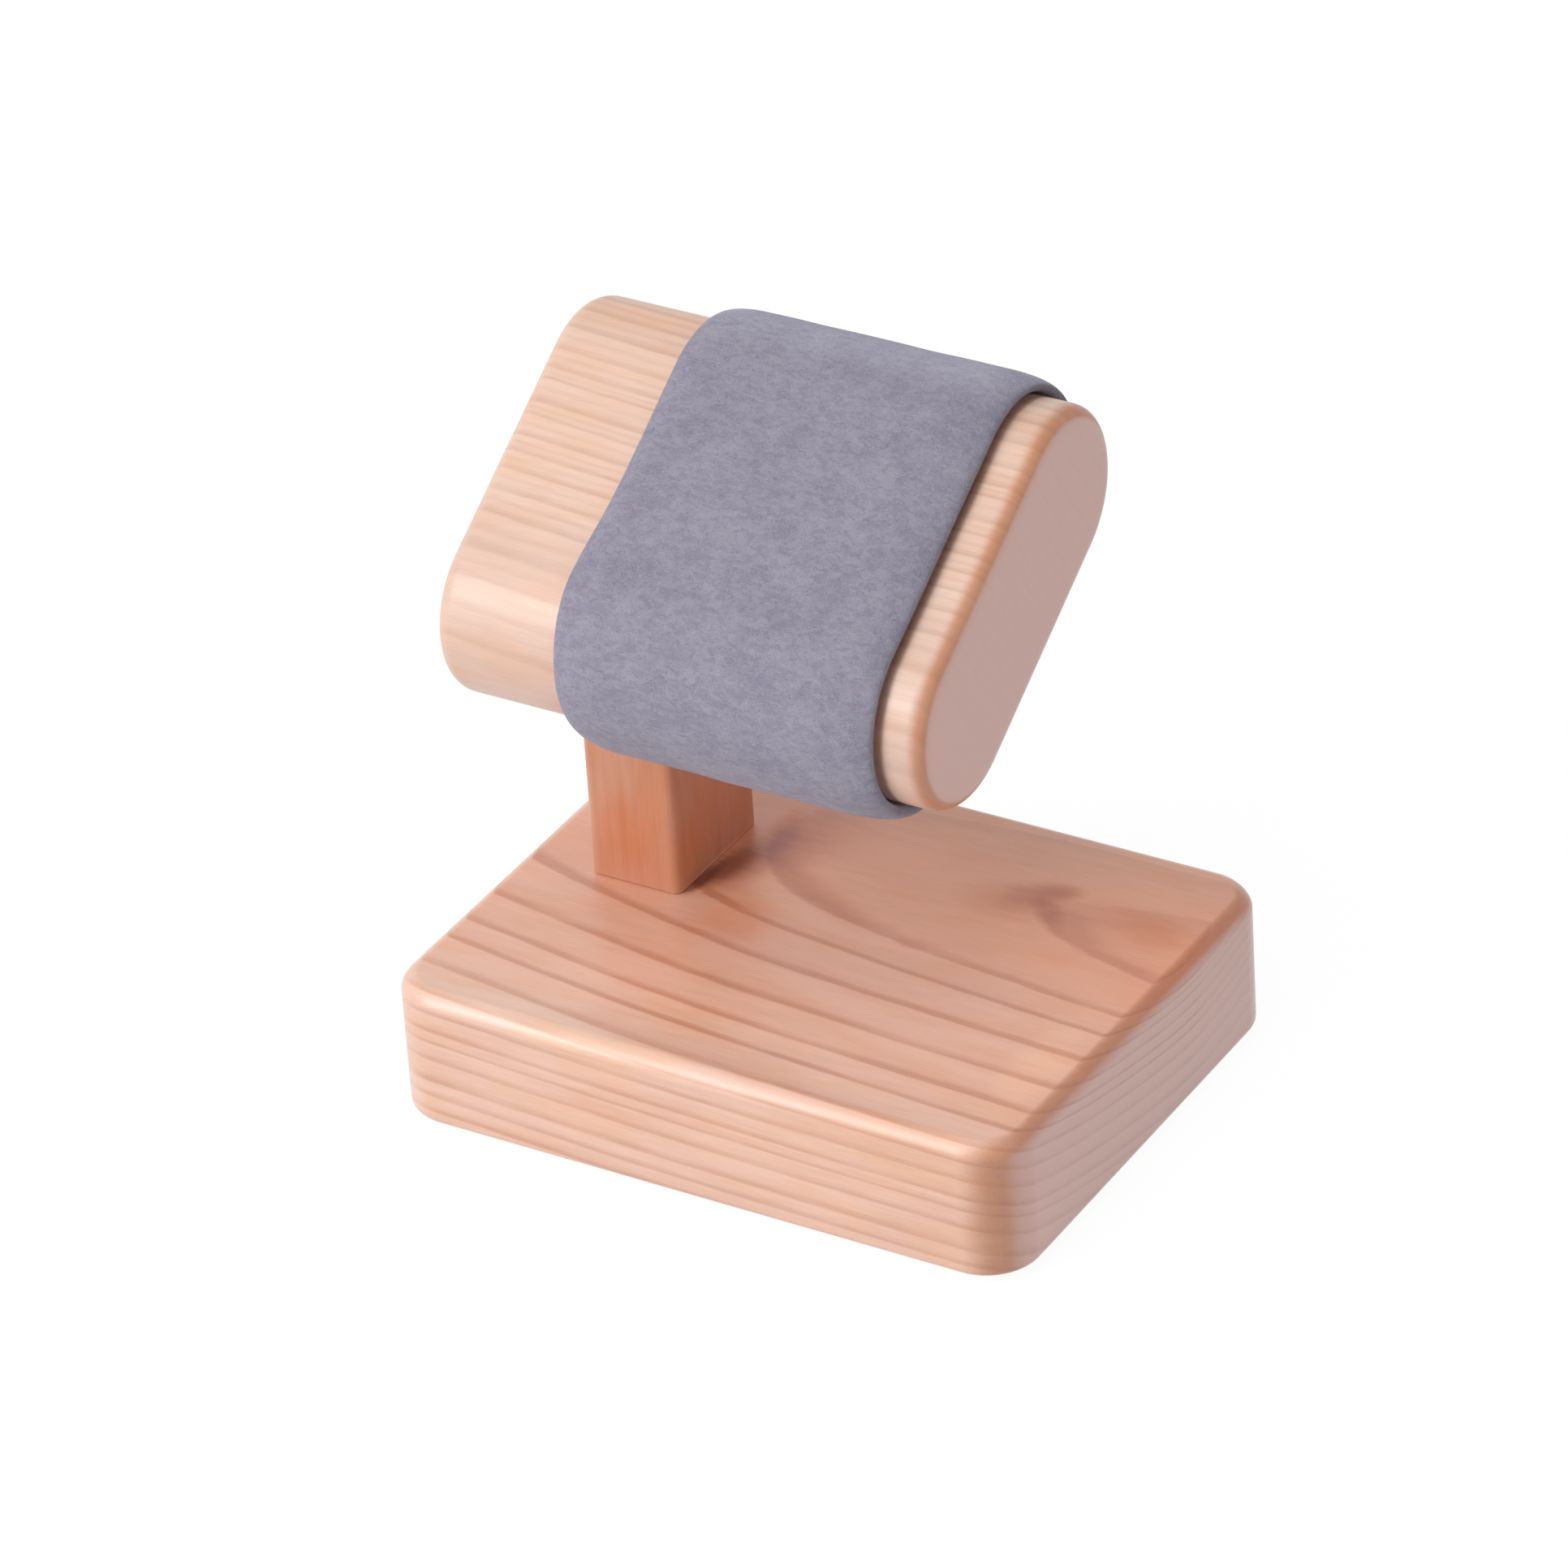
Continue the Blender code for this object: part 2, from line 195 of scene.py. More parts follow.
def turned(name: str, radii: Array, heights: Array, place: Vector) -> bpy.types.Object:
    """A solid turned round an upright axis, closed to a pole at either end.

    Point (i, j) is radius r(i, j) at the angle of column j and height z(i).

    Args:
        name: the piece's name.
        radii: radius of each point, rows along the axis and columns round it.
        heights: height of each row over the place.
        place: the axis's foot in the row frame.

    Returns:
        The piece, its first row joined to the pole before it and its last to the one after.
    """
    rows, columns = radii.shape
    angle = np.linspace(0, 2 * np.pi, columns, endpoint=False)
    level = np.broadcast_to(heights[:, None], radii.shape)
    points = np.stack([radii * np.cos(angle), radii * np.sin(angle), level], -1).reshape(-1, 3)
    poles = np.array([[0, 0, heights[0]], [0, 0, heights[-1]]])
    points = np.concatenate([points, poles]) + np.array(place)
    count = rows * columns
    return new_piece(name, points, grid_quads(rows, columns), fan(0, columns, count, True),
                     fan(rows - 1, columns, count + 1))


def drill(name: str, place: Vector, radius: float, low: float, high: float) -> bpy.types.Object:
    """An upright round cutter between two heights."""
    radii = np.full((2, DRILL_COLUMNS), radius)
    return turned(name, radii, np.array([low, high]), Vector((place.x, place.y, 0)))


def cut_away(obj: bpy.types.Object, cutters: list[bpy.types.Object]) -> None:
    """Take the cutters' volumes out of an object for good, without deleting the cutters."""
    for cutter in cutters:
        modifier = obj.modifiers.new(cutter.name, "BOOLEAN")
        modifier.operation = "DIFFERENCE"
        modifier.solver = "EXACT"
        modifier.object = cutter
    bpy.context.view_layer.update()
    evaluated = obj.evaluated_get(bpy.context.evaluated_depsgraph_get())
    old = obj.data
    obj.data = bpy.data.meshes.new_from_object(evaluated)
    obj.data.name = obj.name
    obj.modifiers.clear()
    bpy.data.meshes.remove(old)
    soften(obj)


def discard(cutters: list[bpy.types.Object]) -> None:
    """Delete cutters that have done their work."""
    for cutter in cutters:
        bpy.data.meshes.remove(cutter.data)


def waves(a: Array, b: Array, seed: int, length: float, count: int = 7) -> Array:
    """Smooth unevenness between about -1 and 1 over two coordinates.

    The sum of count cosine waves of about the given wavelength, each with a direction and a
    phase of its own drawn from the seed, over the root of count.

    Args:
        a: first coordinate, in the same unit as the wavelength.
        b: second coordinate.
        seed: what the directions and phases are drawn from.
        length: mean wavelength.
        count: how many waves are summed.

    Returns:
        The heights, shaped as a and b together.
    """
    draw = np.random.default_rng(seed)
    total = np.zeros(np.broadcast(a, b).shape)
    for _ in range(count):
        way, phase = draw.uniform(0, 2 * np.pi, 2)
        number = 2 * np.pi / (length * draw.uniform(0.7, 1.5))
        total += np.cos(number * (a * np.cos(way) + b * np.sin(way)) + phase)
    return total / math.sqrt(count)


# Shader graphs


class Graph:
    """A material's node tree, with the pattern nodes that the finishes share."""

    def __init__(self, name: str) -> None:
        """Start a material with one Principled shader."""
        self.material = bpy.data.materials.new(name)
        self.material.use_nodes = True
        self.nodes = self.material.node_tree.nodes
        self.links = self.material.node_tree.links
        self.shader = self.nodes["Principled BSDF"]

    def put(self, socket: Socket, value: Value | Colour) -> None:
        """Link a socket to another one, or set it to a constant."""
        if isinstance(value, bpy.types.NodeSocket):
            self.links.new(value, socket)
        elif isinstance(value, tuple) and socket.type == "RGBA":
            socket.default_value = (*value, 1.0)
        else:
            socket.default_value = value

    def node(self, kind: str, inputs: dict, **settings: object) -> bpy.types.Node:
        """Add a node.

        Args:
            kind: Blender's name of the node.
            inputs: values or sockets for its inputs, by name or number.
            settings: its other properties.

        Returns:
            The node.
        """
        made = self.nodes.new(kind)
        for name, value in settings.items():
            setattr(made, name, value)
        for key, value in inputs.items():
            self.put(made.inputs[key], value)
        return made

    def math(self, operation: str, *values: Value) -> Socket:
        """The result of one arithmetic operation."""
        made = self.node("ShaderNodeMath", dict(enumerate(values)), operation=operation)
        return made.outputs[0]

    def ease(self, value: Value, low: float, high: float, start: float = 0.0,
             end: float = 1.0) -> Socket:
        """A value eased from start to end as the given one goes from low to high."""
        inputs = {"Value": value, "From Min": low, "From Max": high, "To Min": start,
                  "To Max": end}
        made = self.node("ShaderNodeMapRange", inputs, interpolation_type="SMOOTHSTEP")
        return made.outputs["Result"]

    def blend(self, share: Value, first: Value | Colour, second: Value | Colour,
              way: str = "MIX") -> Socket:
        """Two colours mixed by a share, or by another of Blender's ways."""
        made = self.node("ShaderNodeMix", {0: share, 6: first, 7: second}, data_type="RGBA",
                         blend_type=way)
        return made.outputs[2]

    def place(self, origin: Vector | Triple = (0, 0, 0), turn: Triple = (0, 0, 0)) -> Socket:
        """Object coordinates in millimetres from an origin, along axes turned by Euler angles."""
        coordinates = self.node("ShaderNodeTexCoord", {}).outputs["Object"]
        inputs = {"Vector": coordinates, "Location": tuple(origin), "Rotation": turn,
                  "Scale": (MM, MM, MM)}
        return self.node("ShaderNodeMapping", inputs, vector_type="TEXTURE").outputs[0]

    def stretch(self, vector: Socket, a: float, b: float, c: float) -> Socket:
        """A position counted in steps of a, b and c millimetres along its three axes."""
        inputs = {0: vector, 1: (1 / a, 1 / b, 1 / c)}
        return self.node("ShaderNodeVectorMath", inputs, operation="MULTIPLY").outputs[0]

    def noise(self, vector: Socket, detail: float = 2.0, roughness: float = 0.5,
              distortion: float = 0.0) -> Socket:
        """Smooth noise about 0.5, with one feature to each step of the position."""
        inputs = {"Vector": vector, "Scale": 1.0, "Detail": detail, "Roughness": roughness,
                  "Distortion": distortion}
        return self.node("ShaderNodeTexNoise", inputs).outputs["Fac"]

    def bump(self, height: Socket, distance: float, under: Socket | None = None) -> Socket:
        """A normal from heights from 0 to 1 that stand for a distance in metres."""
        inputs = {"Height": height, "Distance": distance, "Strength": 1.0}
        if under is not None:
            inputs["Normal"] = under
        return self.node("ShaderNodeBump", inputs).outputs[0]

    def finish(self, **inputs: Value | Colour) -> bpy.types.Material:
        """Set the Principled shader's inputs, underscores standing for spaces."""
        for name, value in inputs.items():
            self.put(self.shader.inputs[name.replace("_", " ")], value)
        return self.material


class Sawing(Enum):
    """How the grain lies in a wooden piece: what its growth rings are set against."""

    SLAB = "a flat-sawn block, whose top shows a pointed figure"
    QUARTER = "rings across the flat, so that it shows straight lines"
    UPRIGHT = "an upright, whose fibres stand"


@dataclass(frozen=True)
class Mark:
    """A soft-edged patch in the wood: where the surface skims a ring, where it is stained, and in
    places painted shade, painted shadow and painted highlights.

    It is an ellipsoid in the grain axes, given by its middle, its half length, half width and
    half depth in millimetres and its turn in degrees, and it multiplies the colour. It is at
    half its strength there, and has faded out at 1.6 times its size.
    """

    a: float
    b: float
    half_length: float
    half_width: float
    turn: float
    colour: Colour
    c: float = 0.0
    half_depth: float = 12.0
    ragged: float = 0.6
    ragged_steps: Triple = (7, 1.6, 4)
    gone_at: float = 1.9
    full_at: float = 0.6

    def over(self, graph: Graph, where: Socket, colour: Socket) -> Socket:
        """The colour with the mark on it, its outline made uneven by noise."""
        inputs = {"Vector": where, "Location": (self.a, self.b, self.c),
                  "Rotation": (0, 0, math.radians(self.turn)),
                  "Scale": (self.half_length, self.half_width, self.half_depth)}
        local = graph.node("ShaderNodeMapping", inputs, vector_type="TEXTURE").outputs[0]
        reach = graph.node("ShaderNodeVectorMath", {0: local}, operation="LENGTH").outputs[1]
        uneven = graph.noise(graph.stretch(where, *self.ragged_steps), 3.0, 0.6)
        reach = graph.math("MULTIPLY_ADD", uneven, self.ragged, reach)
        share = graph.ease(reach, self.gone_at, self.full_at)
        return graph.blend(share, colour, graph.blend(1.0, colour, self.colour, "MULTIPLY"))


@dataclass(frozen=True)
class Cherry:
    """Satin cherry: growth rings through the solid, fibres along them, and a clear coat.

    The rings are cylinders round a pith line that runs along the grain. In the piece's grain
    axes (a along the fibres, b across them, c towards the pith), a point's depth is its
    distance from the pith less the pith's own distance, less two bends of the pith: one that
    starts at knee_at, and one that is felt only near the middle of the figure. The end
    grain's colour sets in where a face's normal leans end_from along the fibres, and is full
    at end_full. Lengths are in millimetres but for fibre_height, and each triple of steps is
    the size of one noise along the three grain axes.
    """

    name: str
    sawing: Sawing
    origin: Vector
    turn: Triple
    early: Colour
    pale: Colour
    end_grain: Colour
    ring_widths: tuple[float, ...]
    first_ring: float
    line: Colour = (0.76, 0.61, 0.54)
    rim: Colour = (0.74, 0.62, 0.57)
    heart: Colour = (1.0, 1.0, 1.0)
    tint: Colour = (0.90, 0.82, 0.78)
    warm: Colour = (1.0, 0.93, 0.82)
    line_depth: float = 1.0
    late_share: float = 0.24
    late_growth: float = 0.018
    false_ring: float = 0.0
    faint_from: float = 8.0
    faint_to: float = 13.0
    far_strength: float = 0.25
    marks: tuple[Mark, ...] = ()
    ring_shade: float = 0.22
    heart_from: float = 2.5
    heart_full: float = -1.5
    pale_from: float = 5.0
    pale_to: float = 14.0
    end_from: float = 0.72
    end_full: float = 0.96
    pith_distance: float = 125.7
    pith_side: float = 18.6
    lean: float = 0.0472
    knee_at: float = -8.9
    knee_width: float = 14.0
    knee_slope: float = 0.0334
    heart_slope: float = 0.0284
    heart_width: float = 16.1
    wander: float = 0.10
    flame: float = 0.06
    tint_share: float = 0.6
    end_lines: float = 0.5
    roughness: float = 0.42
    coat: float = 0.45
    coat_roughness: float = 0.28
    fibre_height: float = 0.000015
    drift_steps: Triple = (34, 9, 9)
    flame_steps: Triple = (9, 0.9, 0.9)
    patch_steps: Triple = (18, 5, 5)
    cloud_steps: Triple = (40, 10, 10)
    streak_steps: Triple = (14, 1.6, 1.6)
    glow_steps: Triple = (14, 4.5, 4.5)
    fibre_steps: Triple = (5.5, 0.16, 0.16)
    pore_steps: Triple = (0.5, 0.22, 0.22)

    def side(self, graph: Graph, where: Socket) -> Socket:
        """How far a point lies from the figure's middle line, in front of it."""
        split = graph.node("ShaderNodeSeparateXYZ", {0: where}).outputs
        middle = graph.math("MULTIPLY_ADD", split[0], -self.lean, self.pith_side)
        return graph.math("SUBTRACT", middle, split[1])

    def depth(self, graph: Graph, where: Socket) -> Socket:
        """How deep a point lies in the growth rings.

        Args:
            graph: the material's graph.
            where: the position in the grain axes, in millimetres.

        Returns:
            The depth in millimetres, growing from the pith to the bark.
        """
        split = graph.node("ShaderNodeSeparateXYZ", {0: where}).outputs
        a, c = split[0], split[2]
        side = self.side(graph, where)
        up = graph.math("SUBTRACT", self.pith_distance, c)
        side_square = graph.math("MULTIPLY", side, side)
        square = graph.math("MULTIPLY_ADD", up, up, side_square)
        depth = graph.math("SUBTRACT", graph.math("SQRT", square), self.pith_distance)
        past = graph.math("SUBTRACT", a, self.knee_at)
        root = graph.math("SQRT", graph.math("MULTIPLY_ADD", past, past, self.knee_width ** 2))
        knee = graph.math("SUBTRACT", past, root)
        depth = graph.math("MULTIPLY_ADD", knee, -self.knee_slope / 2, depth)
        near = graph.math("DIVIDE", side_square, -self.heart_width ** 2)
        heart = graph.math("MULTIPLY", a, graph.math("EXPONENT", near))
        depth = graph.math("MULTIPLY_ADD", heart, -self.heart_slope, depth)
        drift = graph.noise(graph.stretch(where, *self.drift_steps), 1.0)
        depth = graph.math("MULTIPLY_ADD", graph.math("SUBTRACT", drift, 0.5),
                           2 * self.wander, depth)
        flames = graph.noise(graph.stretch(where, *self.flame_steps), 3.0, 0.6)
        return graph.math("MULTIPLY_ADD", graph.math("SUBTRACT", flames, 0.5),
                          2 * self.flame, depth)

    def rings(self, graph: Graph, depth: Socket) -> tuple[Socket, Socket]:
        """Which ring a depth lies in, and how far through it.

        A float curve turns depth into a count of rings, one straight stretch to each
        ring's width, and the count's whole part is the ring's number.

        Args:
            graph: the material's graph.
            depth: the depth in millimetres.

        Returns:
            The ring's number, and the share from 0 at its start to 1 at its end.
        """
        ends = np.cumsum(self.ring_widths)
        count, total = len(ends), float(ends[-1])
        along = graph.math("SUBTRACT", depth, self.first_ring)
        curve = graph.node("ShaderNodeFloatCurve",
                           {"Value": graph.math("DIVIDE", along, total)})
        line = curve.mapping.curves[0]
        for i, end in enumerate(ends[:-1]):
            line.points.new(float(end) / total, (i + 1) / count)
        for point in line.points:
            point.handle_type = "VECTOR"
        curve.mapping.update()
        number = graph.math("MULTIPLY", curve.outputs["Value"], float(count))
        return graph.math("FLOOR", number), graph.math("FRACT", number)

    def line_of(self, graph: Graph, where: Socket, depth: Socket, number: Socket,
                share: Socket) -> Socket:
        """How strongly the late wood's thin dark line shows.

        The line takes up late_share of the first ring, and late_growth more of each one
        after it, and false_ring is the strength of a second one half-way through a ring. It
        is fainter in the outer rings and behind the figure's middle line, and its strength
        varies from ring to ring and along each of them.

        Args:
            graph: the material's graph.
            where: the position in the grain axes.
            depth: the depth in the rings.
            number: the ring's number.
            share: how far through the ring the point lies.

        Returns:
            The line's strength, up to about 1.
        """
        late = graph.math("MULTIPLY_ADD", number, self.late_growth, self.late_share)
        along = graph.math("DIVIDE", graph.math("SUBTRACT", share, 1.0), late)
        line = graph.math("MULTIPLY", graph.ease(along, -1.0, -0.25), graph.ease(along, 0, -0.2))
        second = graph.math("MULTIPLY", graph.ease(share, 0.2, 0.36), graph.ease(share, 0.5, 0.4))
        line = graph.math("MULTIPLY_ADD", second, self.false_ring, line)
        own = graph.node("ShaderNodeTexWhiteNoise", {"W": number}, noise_dimensions="1D")
        patchy = graph.noise(graph.stretch(where, *self.patch_steps), 2.0, 0.6)
        strength = graph.math("MULTIPLY_ADD", own.outputs["Value"], 0.3, 0.85)
        strength = graph.math("MULTIPLY", graph.ease(patchy, 0.35, 0.62, 0.6, 1.1), strength)
        strength = graph.math("MULTIPLY", strength,
                              graph.ease(depth, self.faint_from, self.faint_to, 1.0, 0.45))
        strength = graph.math("MULTIPLY", strength,
                              graph.ease(self.side(graph, where), 0.5, -3.0, 1.0,
                                         self.far_strength))
        return graph.math("MULTIPLY", line, strength)

    def ends(self, graph: Graph) -> Socket:
        """How squarely a face cuts the fibres: 0 along them, 1 or -1 across their two ends."""
        normal = graph.node("ShaderNodeNewGeometry", {}).outputs["Normal"]
        axis = 2 if self.sawing is Sawing.UPRIGHT else 0
        return graph.node("ShaderNodeSeparateXYZ", {0: normal}).outputs[axis]

    def make(self) -> bpy.types.Material:
        """Make the material.

        Returns:
            The material. Its colour darkens slowly over each ring and ends it with a thin
            line. The line is fainter where a rounded edge cuts the fibres at a slant. At the
            piece's right end, or a post's upper one, such an edge is deeper in colour too.
        """
        graph = Graph(self.name)
        where = graph.place(self.origin, self.turn)
        depth = self.depth(graph, where)
        number, share = self.rings(graph, depth)
        line = self.line_of(graph, where, depth, number, share)
        late = graph.math("ADD", line, graph.ease(share, 0.05, 0.9, 0.0, self.ring_shade))
        late = graph.math("MULTIPLY", late, self.line_depth)
        ends = self.ends(graph)
        across = graph.math("ABSOLUTE", ends)
        fibres = graph.noise(graph.stretch(where, *self.fibre_steps), 3.0, 0.7)
        colour = self.ground(graph, where, depth, fibres)
        shown = graph.math("MULTIPLY", late, graph.ease(across, 0.1, 0.6, 1.0, 0.5))
        colour = graph.blend(shown, colour, self.line, "MULTIPLY")
        # The marks: stains and figure in the wood, and on some pieces painted shade, shadow and
        # highlight
        for mark in self.marks:
            colour = mark.over(graph, where, colour)
        slant = graph.math("MULTIPLY", graph.ease(ends, 0.0, 0.6), graph.ease(ends, 1.0, 0.93))
        colour = graph.blend(slant, colour, self.rim, "MULTIPLY")
        colour = graph.blend(graph.ease(across, self.end_from, self.end_full), colour,
                             self.end_face(graph, where, late))
        rough = graph.ease(fibres, 0.25, 0.75, self.roughness - 0.04, self.roughness + 0.06)
        height = graph.math("MULTIPLY_ADD", late, -0.4, fibres)
        return graph.finish(Base_Color=colour, Roughness=rough, Coat_Weight=self.coat,
                            Normal=graph.bump(height, self.fibre_height), IOR=1.5,
                            Coat_Roughness=self.coat_roughness, Specular_IOR_Level=0.4)

    def ground(self, graph: Graph, where: Socket, depth: Socket, fibres: Socket) -> Socket:
        """The wood's colour between its lines.

        It goes from the early colour to the pale one towards the bark, is deeper at the
        figure's heart, and is clouded, streaked and warmed by noise drawn out along the grain.

        Args:
            graph: the material's graph.
            where: the position in the grain axes.
            depth: the depth in the rings.
            fibres: the fine fibres' noise.

        Returns:
            The colour.
        """
        colour = graph.blend(graph.ease(depth, self.pale_from, self.pale_to), self.early, self.pale)
        colour = graph.blend(graph.ease(depth, self.heart_from, self.heart_full), colour,
                             self.heart, "MULTIPLY")
        cloud = graph.noise(graph.stretch(where, *self.cloud_steps), 2.0, 0.5)
        streak = graph.noise(graph.stretch(where, *self.streak_steps), 3.0, 0.6)
        tinted = graph.math("ADD", graph.math("MULTIPLY", cloud, 0.55),
                            graph.math("MULTIPLY", streak, 0.45))
        tinted = graph.math("MULTIPLY", graph.ease(tinted, 0.38, 0.62), self.tint_share)
        colour = graph.blend(tinted, colour, self.tint, "MULTIPLY")
        glow = graph.noise(graph.stretch(where, *self.glow_steps), 2.0, 0.5)
        colour = graph.blend(graph.ease(glow, 0.45, 0.65), colour,
                             graph.blend(1.0, colour, self.warm, "MULTIPLY"))
        return graph.blend(1.0, colour, graph.ease(fibres, 0.3, 0.7, 0.95, 1.04), "MULTIPLY")

    def end_face(self, graph: Graph, where: Socket, late: Socket) -> Socket:
        """The end grain's colour: fainter lines, and pores as fine noise."""
        pores = graph.noise(graph.stretch(where, *self.pore_steps), 2.0, 0.6)
        colour = graph.blend(graph.math("MULTIPLY", late, self.end_lines), self.end_grain,
                             self.line, "MULTIPLY")
        return graph.blend(1.0, colour, graph.ease(pores, 0.3, 0.7, 0.96, 1.03), "MULTIPLY")


@dataclass(frozen=True)
class Suede:
    """Microfibre suede: a short brushed nap, mottled, with paler fibre tips.

    It is lighter over the bar's back edge, and a little lighter over its front edge, by the two
    factors given below: painted light on these rounded edges. The vector uphill points across
    the bar's flat from the front edge to the back one. Each triple of steps is the size of one
    noise in millimetres.
    """

    name: str = "sleeve_suede_nap"
    deep: Colour = display(133, 129, 146)
    pale: Colour = display(154, 150, 164)
    tip: Colour = display(178, 175, 186)
    sheen: Colour = display(214, 216, 232)
    # Painted light: how much lighter the fabric is made over the bar's back edge and over its front
    # edge
    back_painted_light: float = 1.5
    front_painted_light: float = 1.03
    uphill: Triple = (0.0, 0.843, 0.537)
    patch_steps: Triple = (7, 6, 6)
    nap_steps: Triple = (1.8, 1.0, 1.0)
    fibre_steps: Triple = (0.34, 0.22, 0.22)
    nap_height: float = 0.00012
    fibre_height: float = 0.00007

    def make(self) -> bpy.types.Material:
        """Make the material."""
        graph = Graph(self.name)
        where = graph.place()
        normal = graph.node("ShaderNodeNewGeometry", {}).outputs["Normal"]
        lean = graph.node("ShaderNodeVectorMath", {0: normal, 1: self.uphill},
                          operation="DOT_PRODUCT").outputs["Value"]
        patches = graph.noise(graph.stretch(where, *self.patch_steps), 3.0, 0.55, 0.4)
        nap = graph.noise(graph.stretch(where, *self.nap_steps), 3.0, 0.6, 0.8)
        fibre = graph.noise(graph.stretch(where, *self.fibre_steps), 2.0, 0.7)
        mottle = graph.math("ADD", graph.math("MULTIPLY", patches, 0.35),
                            graph.math("MULTIPLY", nap, 0.65))
        colour = graph.blend(graph.ease(mottle, 0.32, 0.68), self.deep, self.pale)
        tips = graph.ease(fibre, 0.56, 0.74, 0.0, 0.5)
        colour = graph.blend(tips, colour, self.tip)
        roots = graph.ease(fibre, 0.44, 0.3, 0.0, 0.35)
        colour = graph.blend(roots, colour, self.deep, "MULTIPLY")
        # Painted light: the fabric is made lighter where it turns over the bar's back and front
        # edges
        painted_light_over_edges = graph.math("MULTIPLY", graph.ease(lean, 0.15, 0.9, 1.0, self.back_painted_light),
                               graph.ease(lean, -0.3, -0.9, 1.0, self.front_painted_light))
        colour = graph.blend(1.0, colour, painted_light_over_edges, "MULTIPLY")
        hairy = graph.bump(fibre, self.fibre_height, graph.bump(nap, self.nap_height))
        return graph.finish(Base_Color=colour, Roughness=0.95, Normal=hairy,
                            Sheen_Weight=0.3, Sheen_Roughness=0.5,
                            Sheen_Tint=self.sheen, Specular_IOR_Level=0.25)


@dataclass(frozen=True)
class Foam:
    """Cream padding foam with fine open cells."""

    name: str = "wrap_foam_cells"
    colour: Colour = display(232, 224, 206)
    cell: Colour = display(186, 174, 150)
    cell_steps: Triple = (0.45, 0.45, 0.45)
    cell_height: float = 0.00012

    def make(self) -> bpy.types.Material:
        """Make the material."""
        graph = Graph(self.name)
        where = graph.stretch(graph.place(), *self.cell_steps)
        cells = graph.node("ShaderNodeTexVoronoi", {"Vector": where, "Scale": 1.0},
                           feature="SMOOTH_F1").outputs["Distance"]
        colour = graph.blend(graph.ease(cells, 0.25, 0.7), self.cell, self.colour)
        return graph.finish(Base_Color=colour, Roughness=0.92,
                            Normal=graph.bump(cells, self.cell_height),
                            Specular_IOR_Level=0.3)


@dataclass(frozen=True)
class Beech:
    """Plain beech of a dowel, its fibres upright, with short dark flecks."""

    name: str = "dowel_beech_turned"
    colour: Colour = display(214, 184, 146)
    fleck: Colour = display(166, 124, 84)
    fleck_steps: Triple = (0.25, 0.25, 1.8)
    fleck_height: float = 0.00004

    def make(self) -> bpy.types.Material:
        """Make the material."""
        graph = Graph(self.name)
        flecks = graph.noise(graph.stretch(graph.place(), *self.fleck_steps), 3.0, 0.6)
        colour = graph.blend(graph.ease(flecks, 0.58, 0.72, 0.0, 0.6), self.colour, self.fleck)
        return graph.finish(Base_Color=colour, Roughness=0.6,
                            Normal=graph.bump(flecks, self.fleck_height))


@dataclass(frozen=True)
class Zinc:
    """Bright zinc plate with a faint clouded passivation and fine wear."""

    name: str = "zinc_steel_plate"
    colour: Colour = display(204, 205, 206)
    cloud: Colour = display(188, 192, 186)
    cloud_steps: Triple = (1.6, 1.6, 1.6)
    wear_steps: Triple = (0.12, 0.7, 0.5)
    wear_height: float = 0.00001

    def make(self) -> bpy.types.Material:
        """Make the material."""
        graph = Graph(self.name)
        where = graph.place()
        clouds = graph.noise(graph.stretch(where, *self.cloud_steps), 3.0, 0.6)
        wear = graph.noise(graph.stretch(where, *self.wear_steps), 2.0, 0.6)
        colour = graph.blend(graph.ease(clouds, 0.35, 0.65), self.colour, self.cloud)
        return graph.finish(Base_Color=colour, Metallic=1.0,
                            Roughness=graph.ease(wear, 0.3, 0.7, 0.26, 0.4),
                            Normal=graph.bump(wear, self.wear_height))


@dataclass(frozen=True)
class Silicone:
    """Matt smoky silicone of a moulded foot pad."""

    name: str = "pad_silicone_matt"
    colour: Colour = display(96, 93, 91)
    dust: Colour = display(124, 121, 118)
    bloom_steps: Triple = (2.4, 2.4, 2.4)
    grain_steps: Triple = (0.2, 0.2, 0.2)
    grain_height: float = 0.00003

    def make(self) -> bpy.types.Material:
        """Make the material."""
        graph = Graph(self.name)
        where = graph.place()
        bloom = graph.noise(graph.stretch(where, *self.bloom_steps), 3.0, 0.6)
        grain = graph.noise(graph.stretch(where, *self.grain_steps), 2.0, 0.6)
        colour = graph.blend(graph.ease(bloom, 0.4, 0.7, 0.0, 0.5), self.colour, self.dust)
        return graph.finish(Base_Color=colour, Roughness=graph.ease(grain, 0.3, 0.7, 0.55, 0.7),
                            Normal=graph.bump(grain, self.grain_height))


def dress(obj: bpy.types.Object, material: bpy.types.Material, slot: str) -> None:
    """Give an object one material, and report it with the name of its slot in the record."""
    obj.data.materials.clear()
    obj.data.materials.append(material)
    LOG.info("%s: %d faces, %s", obj.name, len(obj.data.polygons), slot)


# The stand


